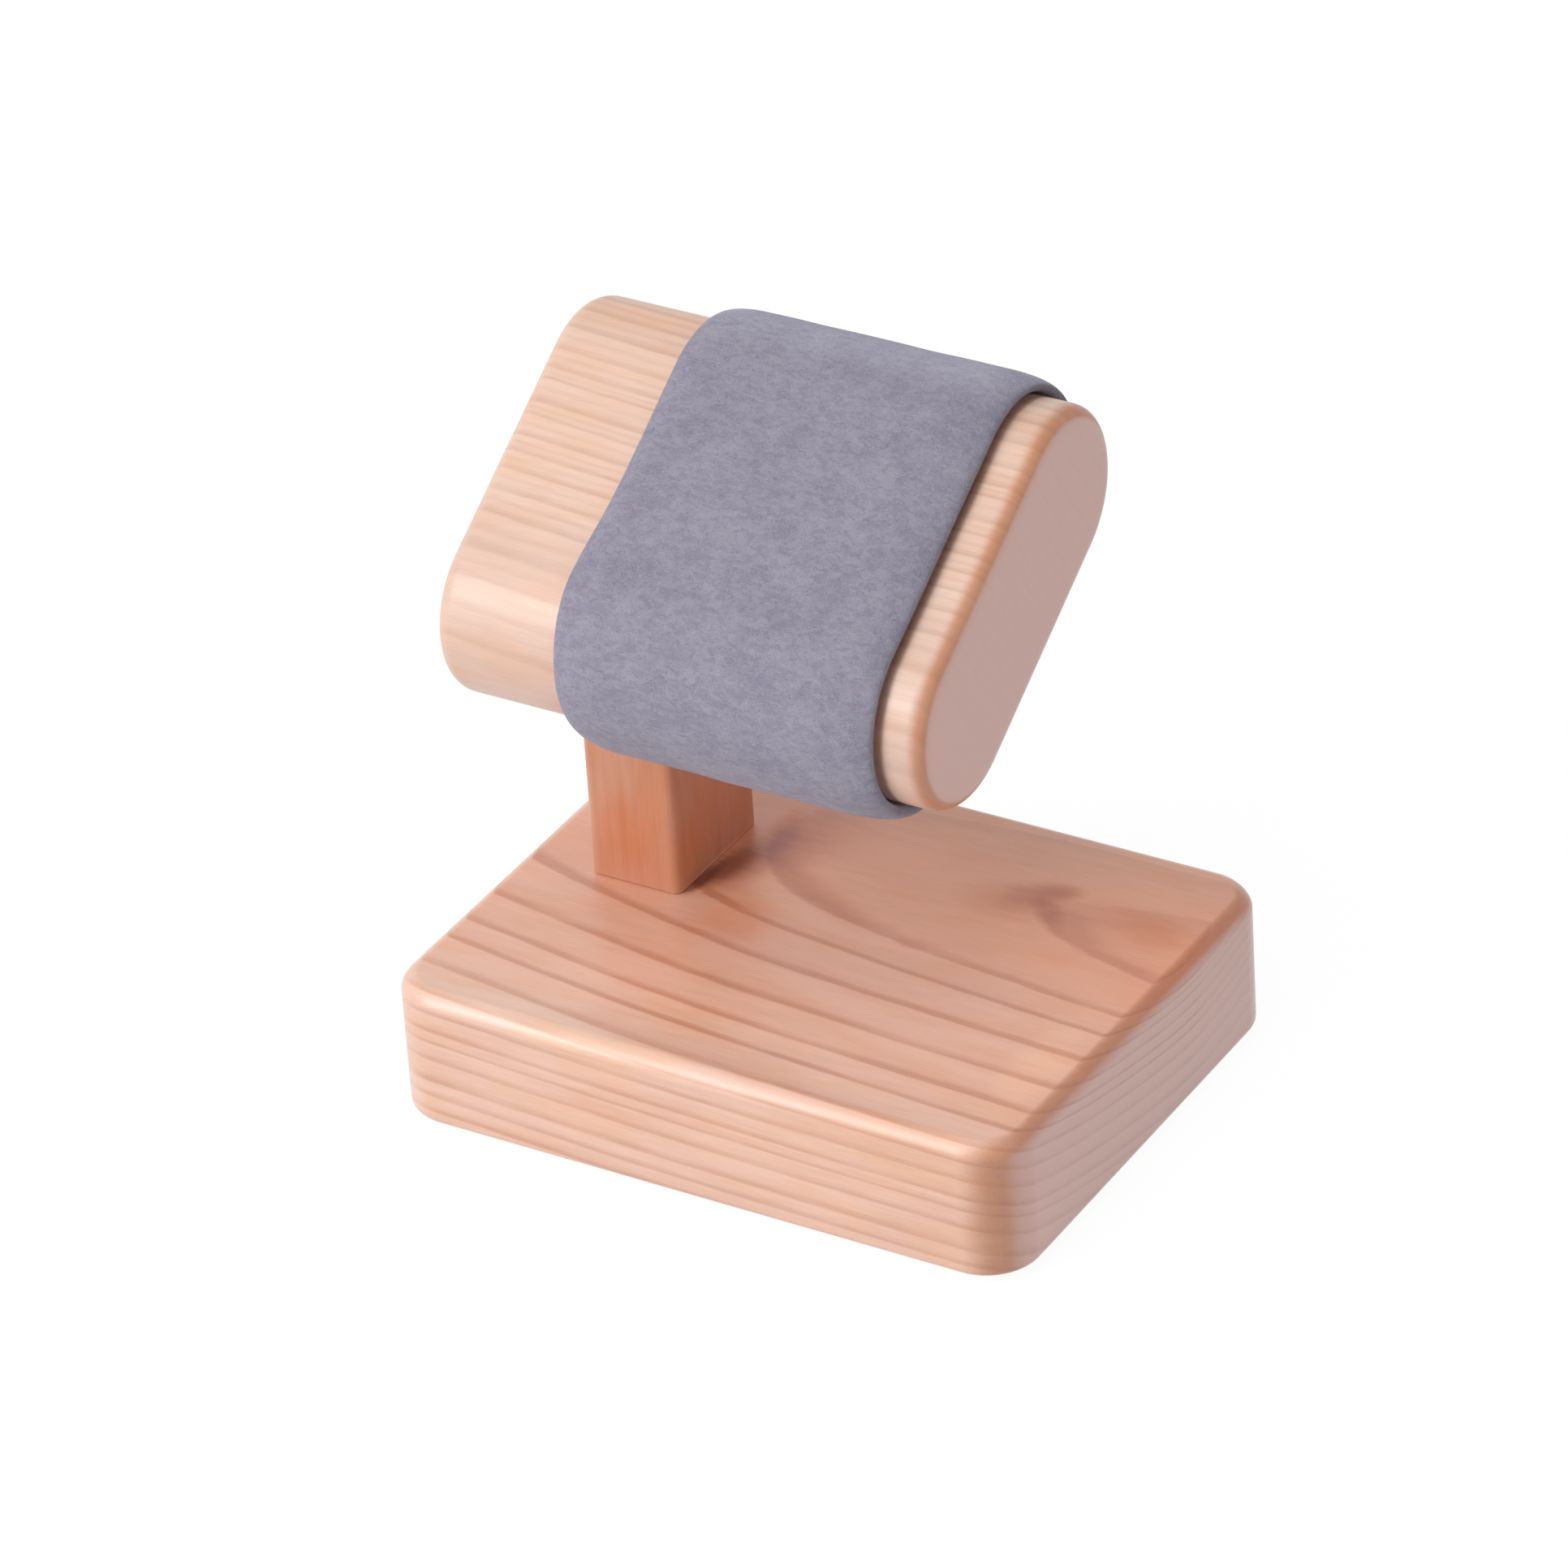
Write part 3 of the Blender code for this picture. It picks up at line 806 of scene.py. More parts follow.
@dataclass
class Base:
    """Solid block with round corners and a soft top edge, on four foot pads."""

    length: float = 0.100
    depth: float = 0.077
    thickness: float = 0.0215
    corner_radius: float = 0.008
    top_round: float = 0.0025
    top_ease: float = 1.6
    under_round: float = 0.0012
    flat_margin: float = 0.0003
    corner_steps: int = 24
    round_steps: int = 16
    pad_diameter: float = 0.010
    pad_thickness: float = 0.0012
    pad_round: float = 0.0003
    pad_dish: float = 0.00012
    pad_inset: float = 0.012
    pad_hub_share: float = 0.15
    pad_dish_share: float = 0.8
    pad_ease_share: float = 0.97
    pad_rise_share: float = 0.94
    pad_flat_share: float = 0.2
    pad_steps: int = 64
    pad_dish_steps: int = 8
    pad_round_steps: int = 6

    @property
    def top(self) -> float:
        """Height of the block's top."""
        return self.pad_thickness + self.thickness

    def block(self) -> bpy.types.Object:
        """Make the block.

        Its edge profile, a quarter circle under, a straight side and an eased edge over, is
        carried round the outline, and a flat face closes each end. The upper edge is a
        superellipse of the order top_ease: a quarter circle sanded flatter in its middle.

        Returns:
            The block, with no holes in it yet.
        """
        low, high = self.pad_thickness, self.top
        under_cos, under_sin = quarter(-90, 0, self.round_steps // 2)
        over_cos, over_sin = (np.clip(part, 0, 1) ** (2 / self.top_ease)
                              for part in quarter(0, 90, self.round_steps))
        inset = np.concatenate([[self.under_round + self.flat_margin],
                                self.under_round * (1 - under_cos),
                                self.top_round * (1 - over_cos),
                                [self.top_round + self.flat_margin]])
        height = np.concatenate([[low], low + self.under_round * (1 + under_sin),
                                 high - self.top_round * (1 - over_sin), [high]])
        flat = rounded_rectangle(self.length, self.depth, self.corner_radius,
                                 self.corner_steps, inset)
        rows, columns = flat.shape[:2]
        level = np.broadcast_to(height[:, None, None], (rows, columns, 1))
        return new_piece("base_block_wood", np.concatenate([flat, level], -1),
                         grid_quads(rows, columns), cap(0, columns, True),
                         cap(rows - 1, columns))

    def pads(self) -> dict[str, bpy.types.Object]:
        """Make the four pads: discs with a rounded rim and a shallow dish underneath.

        A pad's profile runs from the dish's middle out to the rim and back over the top. The
        shares are of the pad's radius, and pad_rise_share is of its thickness.

        Returns:
            The pads, by the name of the CAD node that each stands for.
        """
        radius = self.pad_diameter / 2
        rim_cos, rim_sin = quarter(-90, 0, self.pad_round_steps)
        dish_radius = self.pad_dish_share * radius
        inner = np.linspace(self.pad_hub_share * radius, dish_radius, self.pad_dish_steps)
        dish = self.pad_dish * np.cos(np.pi / 2 * (inner / dish_radius) ** 2)
        profile = np.concatenate([inner, radius - self.pad_round * (1 - rim_cos),
                                  [radius, radius * self.pad_ease_share,
                                   radius * self.pad_flat_share]])
        height = np.concatenate([dish, self.pad_round * (1 + rim_sin),
                                 [self.pad_thickness * self.pad_rise_share,
                                  self.pad_thickness, self.pad_thickness]])
        radii = np.repeat(profile[:, None], self.pad_steps, axis=1)
        across = self.length / 2 - self.pad_inset
        back = self.depth / 2 - self.pad_inset
        made = {}
        for side, x in (("left", -across), ("right", across)):
            for end, y in (("front", -back), ("back", back)):
                name = f"foot_pad_{end}_{side}"
                made[name] = turned(name + "_moulded", radii, height, Vector((x, y, 0)))
        return made

    def build(self, wood: bpy.types.Material, pad: bpy.types.Material) -> bpy.types.Object:
        """Make and dress the sub-assembly.

        Args:
            wood: the block's material.
            pad: the pads' material.

        Returns:
            The block, for the joinery to drill.
        """
        block = self.block()
        dress(block, wood, "cherry_base")
        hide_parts("base_block")
        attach(block, BODY)
        for node, piece in self.pads().items():
            dress(piece, pad, "pad_silicone")
            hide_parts(node)
            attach(piece, BODY)
        return block


@dataclass
class BarAxes:
    """The rest bar's axes, and the section that its bar, foam and sleeve share."""

    tilt: float = math.radians(32.5)
    centre: Vector = field(default_factory=lambda: Vector((0, 0.00052196, 0.08331903)))
    width: float = 0.0605
    thickness: float = 0.0265
    arc_steps: int = 48
    flat_steps: int = 48

    def world(self, x: Array, u: Array, v: Array) -> Array:
        """Points in the row frame: the centre plus x along X, u across and v out of the flat."""
        cos, sin = math.cos(self.tilt), math.sin(self.tilt)
        x, u, v = np.broadcast_arrays(x, u, v)
        return np.stack([x, self.centre.y + u * cos - v * sin,
                         self.centre.z + u * sin + v * cos], -1)

    def section(self) -> tuple[Array, Array]:
        """The section's outline as (u, v), and its outward normals.

        Two half circles joined by two straight flats, counter-clockwise from the lower
        flat's upper end. The normal of a half circle is its radius.

        Returns:
            The points and the normals, two coordinates each.
        """
        radius = self.thickness / 2
        reach = (self.width - self.thickness) / 2
        up_cos, up_sin = quarter(-90, 90, self.arc_steps)
        run = np.linspace(reach, -reach, self.flat_steps + 1)[1:-1]
        level = np.ones_like(run)
        normals = np.concatenate([np.stack([up_cos, up_sin], -1),
                                  np.stack([0 * run, level], -1),
                                  np.stack([-up_cos, -up_sin], -1),
                                  np.stack([0 * run, -level], -1)])
        centres = np.concatenate([np.full(len(up_cos), reach), run,
                                  np.full(len(up_cos), -reach), -run])
        return np.stack([centres, 0 * centres], -1) + radius * normals, normals


@dataclass
class Post:
    """Upright with eased edges, its head mitred to the bar, with the fasteners inside it."""

    axes: BarAxes
    base: Base
    width: float = 0.0146
    depth: float = 0.0218
    height: float = 0.0504
    place: Vector = field(default_factory=lambda: Vector((-0.0306, 0.0097, 0)))
    edge_round: float = 0.0013
    foot_round: float = 0.0004
    flat_margin: float = 0.0002
    edge_steps: int = 12
    foot_steps: int = 4
    dowel_radius: float = 0.002
    dowel_length: float = 0.020
    dowel_spacing: float = 0.0136
    screw_radius: float = 0.0019
    screw_core: float = 0.0013
    screw_length: float = 0.040
    screw_point: float = 0.005
    screw_pitch: float = 0.0014
    pitch_steps: int = 10
    shank_start: float = 0.0004
    thread_start: float = 0.004
    thread_run_in: float = 0.002
    thread_slope: float = 4.0
    point_share: float = 0.02
    screw_columns: int = 48
    head_radius: float = 0.0038
    head_height: float = 0.0026
    head_flat_share: float = 0.3
    head_lip: float = 0.0001
    head_steps: int = 8
    recess_width: float = 0.0011
    recess_span: float = 0.0044
    recess_depth: float = 0.0014
    recess_taper: float = 0.00011
    washer_radius: float = 0.0045
    washer_thickness: float = 0.0008
    washer_ease: float = 0.00012
    washer_columns: int = 64
    counterbore_depth: float = 0.0070
    counterbore_room: float = 0.0005
    glue_fit: float = 0.0002
    end_room: float = 0.0006
    margin: float = 0.002

    @property
    def seat(self) -> float:
        """Height of the mitred seat's middle."""
        return self.base.top + self.height

    @property
    def under(self) -> float:
        """Height of the block's underside."""
        return self.base.top - self.base.thickness

    @property
    def floor(self) -> float:
        """Height of the counterbore's end, which the washer bears on."""
        return self.under + self.counterbore_depth

    def upright(self) -> bpy.types.Object:
        """Make the post.

        Its outline is carried from the eased foot straight up to the bar's lower flat, whose
        height is the seat's plus the tangent of the tilt times the distance to the back.

        Returns:
            The post, with no holes in it yet.
        """
        foot_cos, foot_sin = quarter(-90, 0, self.foot_steps)
        inset = np.concatenate([[self.foot_round + self.flat_margin],
                                self.foot_round * (1 - foot_cos), [0.0, 0.0]])
        flat = rounded_rectangle(self.width, self.depth, self.edge_round, self.edge_steps,
                                 inset)
        rise = self.foot_round * (1 + foot_sin)
        seat = self.height + flat[-1, :, 1] * math.tan(self.axes.tilt)
        share = np.concatenate([np.zeros(len(inset) - 2), [0.5, 1.0]])[:, None]
        level = np.concatenate([[0.0], rise, [0.0, 0.0]])[:, None] * (share == 0)
        level = level + share * seat[None, :]
        points = np.concatenate([flat, level[..., None]], -1)
        points += np.array([self.place.x, self.place.y, self.base.top])
        rows, columns = level.shape
        return new_piece("post_wood", points, grid_quads(rows, columns),
                         cap(0, columns, True), cap(rows - 1, columns))

    def screw(self) -> bpy.types.Object:
        """Make the wood screw, head down.

        Up to the head's upper face the radius is a dome's. Above it the radius is the core's
        plus a ridge that peaks where height over pitch less angle over a turn is a whole
        number and a half, and both shrink to the point.

        Returns:
            The screw, with a cross recess cut in its head.
        """
        columns = self.screw_columns
        crown = self.head_height / 2
        dome_cos, dome_sin = quarter(-90, 0, self.head_steps)
        dome_radius = self.head_radius - crown + crown * dome_cos
        dome_height = -self.head_height + crown * (1 + dome_sin)
        head_radii = np.concatenate([[self.head_radius * self.head_flat_share], dome_radius,
                                     [self.head_radius, self.head_radius, self.screw_core]])
        head_heights = np.concatenate([[-self.head_height], dome_height,
                                       [-self.head_lip, 0.0, 0.0]])
        run = np.arange(self.shank_start, self.screw_length, self.screw_pitch / self.pitch_steps)
        turn = np.linspace(0, 1, columns, endpoint=False)
        phase = (run[:, None] / self.screw_pitch - turn[None, :]) % 1.0
        ridge = np.clip(1 - np.abs(phase - 0.5) * self.thread_slope, 0, 1)
        start = np.clip((run - self.thread_start) / self.thread_run_in, 0, 1)
        taper = np.clip((self.screw_length - run) / self.screw_point, self.point_share, 1)
        reach = (self.screw_radius - self.screw_core) * start[:, None] * ridge
        shank = (self.screw_core + reach) * taper[:, None]
        radii = np.concatenate([np.repeat(head_radii[:, None], columns, 1), shank])
        heights = np.concatenate([head_heights, run])
        foot = Vector((self.place.x, self.place.y, self.floor - self.washer_thickness))
        screw = turned("base_screw_threaded", radii, heights, foot)
        cutter = self.recess(foot)
        cut_away(screw, [cutter])
        discard([cutter])
        return screw

    def recess(self, foot: Vector) -> bpy.types.Object:
        """Make the cutter for the cross recess.

        A cross has twelve corners, three to each quarter turn: the arm's two and the inner
        one after them. The lower outline lies below the head, and the upper one, the
        recess's bottom, is drawn in by recess_taper all round.

        Args:
            foot: where the screw's axis meets the head's upper face.

        Returns:
            The cutter.
        """
        face = foot.z - self.head_height
        long = self.recess_span / 2 - np.array([0.0, self.recess_taper])
        short = self.recess_width / 2 - np.array([0.0, self.recess_taper])
        arm = np.array([[long, -short], [long, short], [short, short]])
        turns = [arm, np.stack([-arm[:, 1], arm[:, 0]], 1), -arm,
                 np.stack([arm[:, 1], -arm[:, 0]], 1)]
        x, y = np.moveaxis(np.concatenate(turns), (0, 1, 2), (2, 0, 1))
        level = np.array([face - self.margin, face + self.recess_depth])[:, None] + 0 * x
        points = np.stack([foot.x + x, foot.y + y, level], -1)
        columns = points.shape[1]
        return new_piece("recess", points, grid_quads(2, columns), cap(0, columns, True),
                         cap(1, columns))

    def washer(self) -> bpy.types.Object:
        """Make the flat washer: a closed band round the screw with eased edges."""
        inner, outer, ease = self.screw_radius + self.glue_fit, self.washer_radius, self.washer_ease
        radii = np.array([inner + ease, outer - ease, outer, outer, outer - ease, inner + ease,
                          inner, inner])
        high = self.washer_thickness
        heights = np.array([0, 0, ease, high - ease, high, high, high - ease, ease])
        columns = self.washer_columns
        angle = np.linspace(0, 2 * np.pi, columns, endpoint=False)
        level = np.repeat(heights[:, None], columns, 1) + self.floor - high
        points = np.stack([self.place.x + radii[:, None] * np.cos(angle),
                           self.place.y + radii[:, None] * np.sin(angle), level], -1)
        return new_piece("screw_washer_plated", points,
                         grid_quads(len(radii), columns, ring=True))

    def join(self, block: bpy.types.Object, post: bpy.types.Object,
             bar: bpy.types.Object) -> None:
        """Drill the counterbore, the screw hole and the dowel holes of both joints.

        Args:
            block: the base block.
            post: the post.
            bar: the rest bar.
        """
        screw_top = self.floor - self.washer_thickness + self.screw_length + self.end_room
        bore = drill("counterbore", self.place, self.washer_radius + self.counterbore_room,
                     self.under - self.margin, self.floor)
        screw_hole = drill("screw_hole", self.place, self.screw_radius + self.glue_fit,
                           self.floor - self.margin, screw_top)
        reach = self.dowel_length / 2 + self.end_room
        hole = self.dowel_radius + self.glue_fit
        feet, heads = [], []
        for end, shift in (("front", -self.dowel_spacing / 2), ("back", self.dowel_spacing / 2)):
            spot = self.place + Vector((0, shift, 0))
            seat = self.seat + shift * math.tan(self.axes.tilt)
            feet.append(drill("foot_hole_" + end, spot, hole, self.base.top - reach,
                              self.base.top + reach))
            heads.append(drill("head_hole_" + end, spot, hole, seat - reach, seat + reach))
        cut_away(block, [bore, screw_hole, *feet])
        cut_away(post, [screw_hole, *feet, *heads])
        cut_away(bar, heads)
        discard([bore, screw_hole, *feet, *heads])

    def build(self, frame: dict, wood: bpy.types.Material, steel: bpy.types.Material,
              dowel: bpy.types.Material) -> bpy.types.Object:
        """Make and dress the sub-assembly.

        Args:
            wood: the post's material.
            steel: the screw's and the washer's.
            dowel: the dowels', which stay CAD nodes.

        Returns:
            The post, for the joinery to drill.
        """
        post = self.upright()
        dress(post, wood, "cherry_post")
        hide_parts("post")
        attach(post, BODY)
        for piece, node in ((self.screw(), "base_screw"), (self.washer(), "screw_washer")):
            dress(piece, steel, "zinc_steel")
            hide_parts(node)
            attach(piece, BODY)
        for joint in ("foot", "head"):
            for end in ("front", "back"):
                dress(frame["nodes"][f"{joint}_dowel_{end}"], dowel, "dowel_beech")
        return post


@dataclass
class RestBar:
    """The tilted bar, its foam wrap and its fabric sleeve."""

    axes: BarAxes
    left: float = -0.0434
    right: float = 0.0335
    end_round: float = 0.0029
    end_ease: float = 2.3
    end_steps: int = 16
    flat_margin: float = 0.0003
    sleeve_left: float = -0.0227
    sleeve_right: float = 0.0268
    fabric: float = 0.0008
    left_shoulder: float = 0.0058
    right_shoulder: float = 0.0085
    back_shoulder: float = 0.0050
    left_brim: float = 0.0013
    right_brim: float = 0.0015
    fold: float = 0.0010
    hem: float = 0.0042
    hem_gap: float = 0.00012
    upper_flat: float = 0.0035
    lower_flat: float = 0.0036
    upper_end: float = 0.0023
    lower_end: float = 0.0032
    crown: float = 0.00018
    top_steps: int = 64
    shoulder_steps: int = 14
    fold_steps: int = 8
    hem_steps: int = 5
    girth: float = 0.172
    relief: float = 0.00005
    relief_length: float = 0.009
    edge_bulge: float = 0.0008
    bulge_at: float = -0.017
    bulge_width: float = 0.009
    edge_wander: float = 0.00012
    right_wander: float = 0.4
    wander_length: float = 0.03
    edge_seeds: tuple[int, int] = (4, 9)
    relief_seed: int = 21
    seam_depth: float = 0.0003
    seam_width: float = 0.0004
    seam_u: float = -0.003
    stitch_pitch: float = 0.0028
    stitch_reach: float = 0.0011
    stitch_radius: float = 0.00016
    stitch_slant: float = 0.35
    stitch_sunk: float = 0.0001
    stitch_rise: float = 0.00018
    stitch_blunt: float = 0.02
    stitch_sides: int = 8
    stitch_steps: int = 9
    foam_gap: float = 0.00025
    foam_inset: float = 0.0006
    foam_least: float = 0.00012
    foam_steps: int = 60
    hem_ramp: float = 0.0008

    def bar(self) -> bpy.types.Object:
        """Make the bar.

        The section is carried from end to end, drawn in along its normals by a quarter of a
        superellipse of the order end_ease at each end, and a flat face closes each end.

        Returns:
            The bar, with no holes in it yet.
        """
        cos, sin = (np.clip(part, 0, 1) ** (2 / self.end_ease)
                    for part in quarter(90, 0, self.end_steps))
        inset = np.concatenate([[self.end_round + self.flat_margin], self.end_round * (1 - cos)])
        along = np.concatenate([[0.0], self.end_round * (1 - sin)])
        inset = np.concatenate([inset, inset[::-1]])
        x = np.concatenate([self.left + along, (self.right - along)[::-1]])
        outline, normals = self.axes.section()
        points = outline[None] - inset[:, None, None] * normals[None]
        places = self.axes.world(x[:, None], points[..., 0], points[..., 1])
        rows, columns = places.shape[:2]
        return new_piece("rest_bar_wood", places, grid_quads(rows, columns),
                         cap(0, columns, True), cap(rows - 1, columns))

    def height(self, outline: Array, normals: Array) -> Array:
        """How far the sleeve stands off the wood round the section.

        The square of the normal's v weighs the height over a flat, and the square of its u
        the height over a round edge, where the fabric, pulled tight, presses the foam down. Each
        flat is crowned by a cosine over its width, and the seam is a narrow bell-shaped
        valley under the bar.

        Args:
            outline: the section's points as (u, v).
            normals: its outward normals.

        Returns:
            One height for each point.
        """
        over_flat = np.where(normals[:, 1] > 0, self.upper_flat, self.lower_flat)
        over_end = np.where(normals[:, 0] > 0, self.upper_end, self.lower_end)
        height = normals[:, 1] ** 2 * over_flat + normals[:, 0] ** 2 * over_end
        half = self.axes.width / 2
        height += self.crown * np.cos(np.pi / 2 * outline[:, 0] / half) * np.abs(normals[:, 1])
        valley = np.exp(-((outline[:, 0] - self.seam_u) / self.seam_width) ** 2)
        on_lower_flat = normals[:, 1] < -0.99
        return height - self.seam_depth * valley * on_lower_flat

    def edges(self, outline: Array, normals: Array) -> tuple[Array, Array]:
        """Where the sleeve's left and right edges lie round the section.

        The left edge bulges outwards in a bell over the lower half of the upper flat, and
        both wander a little, the right one right_wander times as much.

        Args:
            outline: the section's points as (u, v).
            normals: its outward normals.

        Returns:
            The left and the right edge's x at each point.
        """
        bell = np.exp(-((outline[:, 0] - self.bulge_at) / self.bulge_width) ** 2)
        bell = bell * np.clip(normals[:, 1] + 0.5, 0, 1)
        uneven = [waves(outline[:, 0], outline[:, 1], seed, self.wander_length)
                  for seed in self.edge_seeds]
        left = self.sleeve_left - self.edge_bulge * bell + self.edge_wander * uneven[0]
        return left, self.sleeve_right + self.right_wander * self.edge_wander * uneven[1]

    def half_profile(self, rise: Array, brim: float, shoulder: float | Array,
                     inner: float) -> tuple[Array, Array]:
        """One side of the sleeve's profile, from its hem's end to the top of its shoulder.

        The hem goes down from the fold with the square of the distance, to an end a little
        over the wood. The fold is a quarter circle up to the brim, the sleeve's outermost
        point, and the shoulder a quarter ellipse from the brim to the top.

        Args:
            rise: the sleeve's height round the section, one row.
            brim: the height of the outermost point over the wood.
            shoulder: the shoulder's width, the same all round or one for each point.
            inner: how far the face lies inside the fabric's outer one.

        Returns:
            The distance inwards from the sleeve's edge and the height over the wood, rows
            along the profile and columns round the section.
        """
        full = np.ones_like(rise)
        share = np.linspace(1, 0, self.hem_steps + 1)[:-1, None]
        lift = brim - self.fold
        hem_x = (self.fold + self.hem * share) * full
        hem_h = (lift - (lift - self.hem_gap) * share ** 2 + inner) * full
        low_cos, low_sin = (part[:, None] for part in quarter(90, 0, self.fold_steps))
        fold_x = (self.fold - (self.fold - inner) * low_cos) * full
        fold_h = (brim - (self.fold - inner) * low_sin) * full
        cos, sin = (part[1:, None] for part in quarter(0, 90, self.shoulder_steps))
        over_x = (shoulder - (shoulder - inner) * cos) * full
        over_h = brim + (rise - brim - inner) * sin
        return (np.concatenate([hem_x, fold_x, over_x]),
                np.concatenate([hem_h, fold_h, over_h]))

    def face(self, inner: float) -> tuple[Array, Array]:
        """One face of the fabric, a distance inside its outer one, from hem to hem.

        Between the two shoulders the height is the sleeve's own, with a shallow relief that
        fades out towards them. The right shoulder narrows over the bar's back edge, where
        the fabric is pulled tight.

        Args:
            inner: how far the face lies inside the fabric's outer one.

        Returns:
            The x and the height over the wood, rows along the profile and columns round it.
        """
        outline, normals = self.axes.section()
        rise = self.height(outline, normals)[None, :]
        left, right = (edge[None, :] for edge in self.edges(outline, normals))
        left_x, left_h = self.half_profile(rise, self.left_brim, self.left_shoulder, inner)
        back = np.clip(normals[:, 0], 0, 1)[None, :] ** 2
        shoulder = self.right_shoulder + (self.back_shoulder - self.right_shoulder) * back
        right_x, right_h = self.half_profile(rise, self.right_brim, shoulder, inner)
        share = np.linspace(0, 1, self.top_steps + 1)[1:-1, None]
        start, end = left + self.left_shoulder, right - shoulder
        top_x = start + (end - start) * share
        round_it = np.linspace(0, self.girth, outline.shape[0])[None, :]
        relief = self.relief * np.sin(np.pi * share) ** 0.5
        relief = relief * waves(top_x, round_it, self.relief_seed, self.relief_length)
        x = np.concatenate([left + left_x, top_x, right - right_x[::-1]])
        return x, np.concatenate([left_h, rise - inner + relief, right_h[::-1]])

    def lifted(self, x: Array, h: Array) -> Array:
        """Points in the row frame at x along the bar and height h over its section."""
        outline, normals = self.axes.section()
        return self.axes.world(x, outline[:, 0] + h * normals[:, 0],
                               outline[:, 1] + h * normals[:, 1])

    def sleeve(self) -> bpy.types.Object:
        """Make the fabric sleeve: its outer face, and its inner one on the way back.

        Returns:
            The sleeve, a closed shell.
        """
        outer, inner = self.face(0.0), self.face(self.fabric)
        x, h = (np.concatenate([there, back[::-1]]) for there, back in zip(outer, inner))
        return new_piece("fabric_sleeve_suede", self.lifted(x, h),
                         grid_quads(*x.shape, ring=True))

    def stitches(self) -> bpy.types.Object:
        """Make the stitches that close the sleeve's seam under the bar.

        Each is a short thread across the seam at a slight slant. Its middle line's height is
        a half sine, so that both ends go into the fabric.

        Returns:
            All the stitches as one piece.
        """
        sides, steps = self.stitch_sides, self.stitch_steps
        start = self.sleeve_left + self.left_shoulder
        end = self.sleeve_right - self.right_shoulder
        places = np.arange(start, end, self.stitch_pitch)[:, None, None]
        along = np.linspace(-1, 1, steps)[None, :, None]
        angle = np.linspace(0, 2 * np.pi, sides, endpoint=False)[None, None, :]
        bulk = np.clip(1 + self.stitch_blunt - along ** 2, self.stitch_blunt, 1)
        thick = self.stitch_radius * np.sqrt(bulk)
        x = places + self.stitch_slant * self.stitch_reach * along + thick * np.cos(angle)
        u = self.seam_u + self.stitch_reach * along + 0 * x
        foot = self.lower_flat + self.crown - self.stitch_sunk
        h = foot + self.stitch_rise * np.cos(np.pi / 2 * along) + thick * np.sin(angle)
        points = self.axes.world(x, u, -(self.axes.thickness / 2 + h))
        starts = (np.arange(len(places)) * steps * sides)[:, None, None]
        body = (grid_quads(steps, sides)[None] + starts).reshape(-1, 4)
        first = (cap(0, sides, True)[None] + starts).reshape(-1, sides)
        last = (cap(steps - 1, sides)[None] + starts).reshape(-1, sides)
        return new_piece("sleeve_seam_stitches", points, body, first, last)

    def foam(self) -> bpy.types.Object:
        """Make the foam wrap.

        It fills the room between the wood and the fabric's inner face with a small gap, and
        lies over the fabric's two hems, so it is thinner there.

        Returns:
            The foam, a closed band.
        """
        outline, normals = self.axes.section()
        rise = self.height(outline, normals)[None, :]
        left, right = (edge[None, :] for edge in self.edges(outline, normals))
        inset = self.fabric + self.foam_inset
        share = 0.5 - 0.5 * np.cos(np.linspace(0, np.pi, self.foam_steps + 1))[:, None]
        x = left + inset + (right - left - 2 * inset) * share
        low, high = np.zeros_like(x), np.broadcast_to(rise - self.fabric, x.shape)
        for from_edge, brim, shoulder in ((x - left, self.left_brim, self.left_shoulder),
                                          (right - x, self.right_brim, self.right_shoulder)):
            reach = np.clip((shoulder - from_edge) / (shoulder - self.fabric), 0, 1)
            under = brim + (rise - brim - self.fabric) * np.sqrt(1 - reach ** 2)
            high = np.minimum(high, under)
            past = (from_edge - self.fold - self.hem) / self.hem_ramp
            over = np.clip(1 - past, 0, 1)
            over = over * over * (3 - 2 * over)
            hem_share = np.clip((from_edge - self.fold) / self.hem, 0, 1)
            lift = brim - self.fold
            top = lift - (lift - self.hem_gap) * hem_share ** 2 + self.fabric
            low = np.maximum(low, top * over)
        middle = (high + low) / 2
        half = np.maximum((high - low) / 2 - self.foam_gap, self.foam_least / 2)
        h = np.concatenate([middle + half, (middle - half)[::-1]])
        x = np.concatenate([x, x[::-1]])
        return new_piece("foam_wrap_padding", self.lifted(x, h), grid_quads(*x.shape, ring=True))

    def flat_size(self) -> tuple[float, float]:
        """The fabric's cut, measured along its middle.

        Returns:
            The length of the profile from hem end to hem end, and the girth over the top.
        """
        x, h = self.face(self.fabric / 2)
        across = np.hypot(np.diff(x, axis=0), np.diff(h, axis=0)).sum(0).mean()
        ring = self.lifted(x, h)[x.shape[0] // 2]
        girth = np.linalg.norm(np.roll(ring, -1, axis=0) - ring, axis=1).sum()
        return float(across), float(girth)

    def build(self, wood: bpy.types.Material, suede: bpy.types.Material,
              padding: bpy.types.Material) -> bpy.types.Object:
        """Make and dress the sub-assembly.

        Args:
            wood: the bar's material.
            suede: the sleeve's.
            padding: the foam's.

        Returns:
            The bar, for the joinery to drill.
        """
        bar, foam, sleeve, thread = self.bar(), self.foam(), self.sleeve(), self.stitches()
        dress(bar, wood, "cherry_bar")
        dress(foam, padding, "wrap_foam")
        dress(sleeve, suede, "sleeve_suede")
        dress(thread, suede, "sleeve_suede")
        for piece, node in ((bar, "rest_bar"), (foam, "foam_wrap"), (sleeve, "fabric_sleeve")):
            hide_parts(node)
            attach(piece, BODY)
        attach(thread, BODY)
        self.flat_size()
        LOG.info("sleeve cut: %.1f x %.1f mm", *(1000 * side for side in self.flat_size()))
        return bar


# The studio


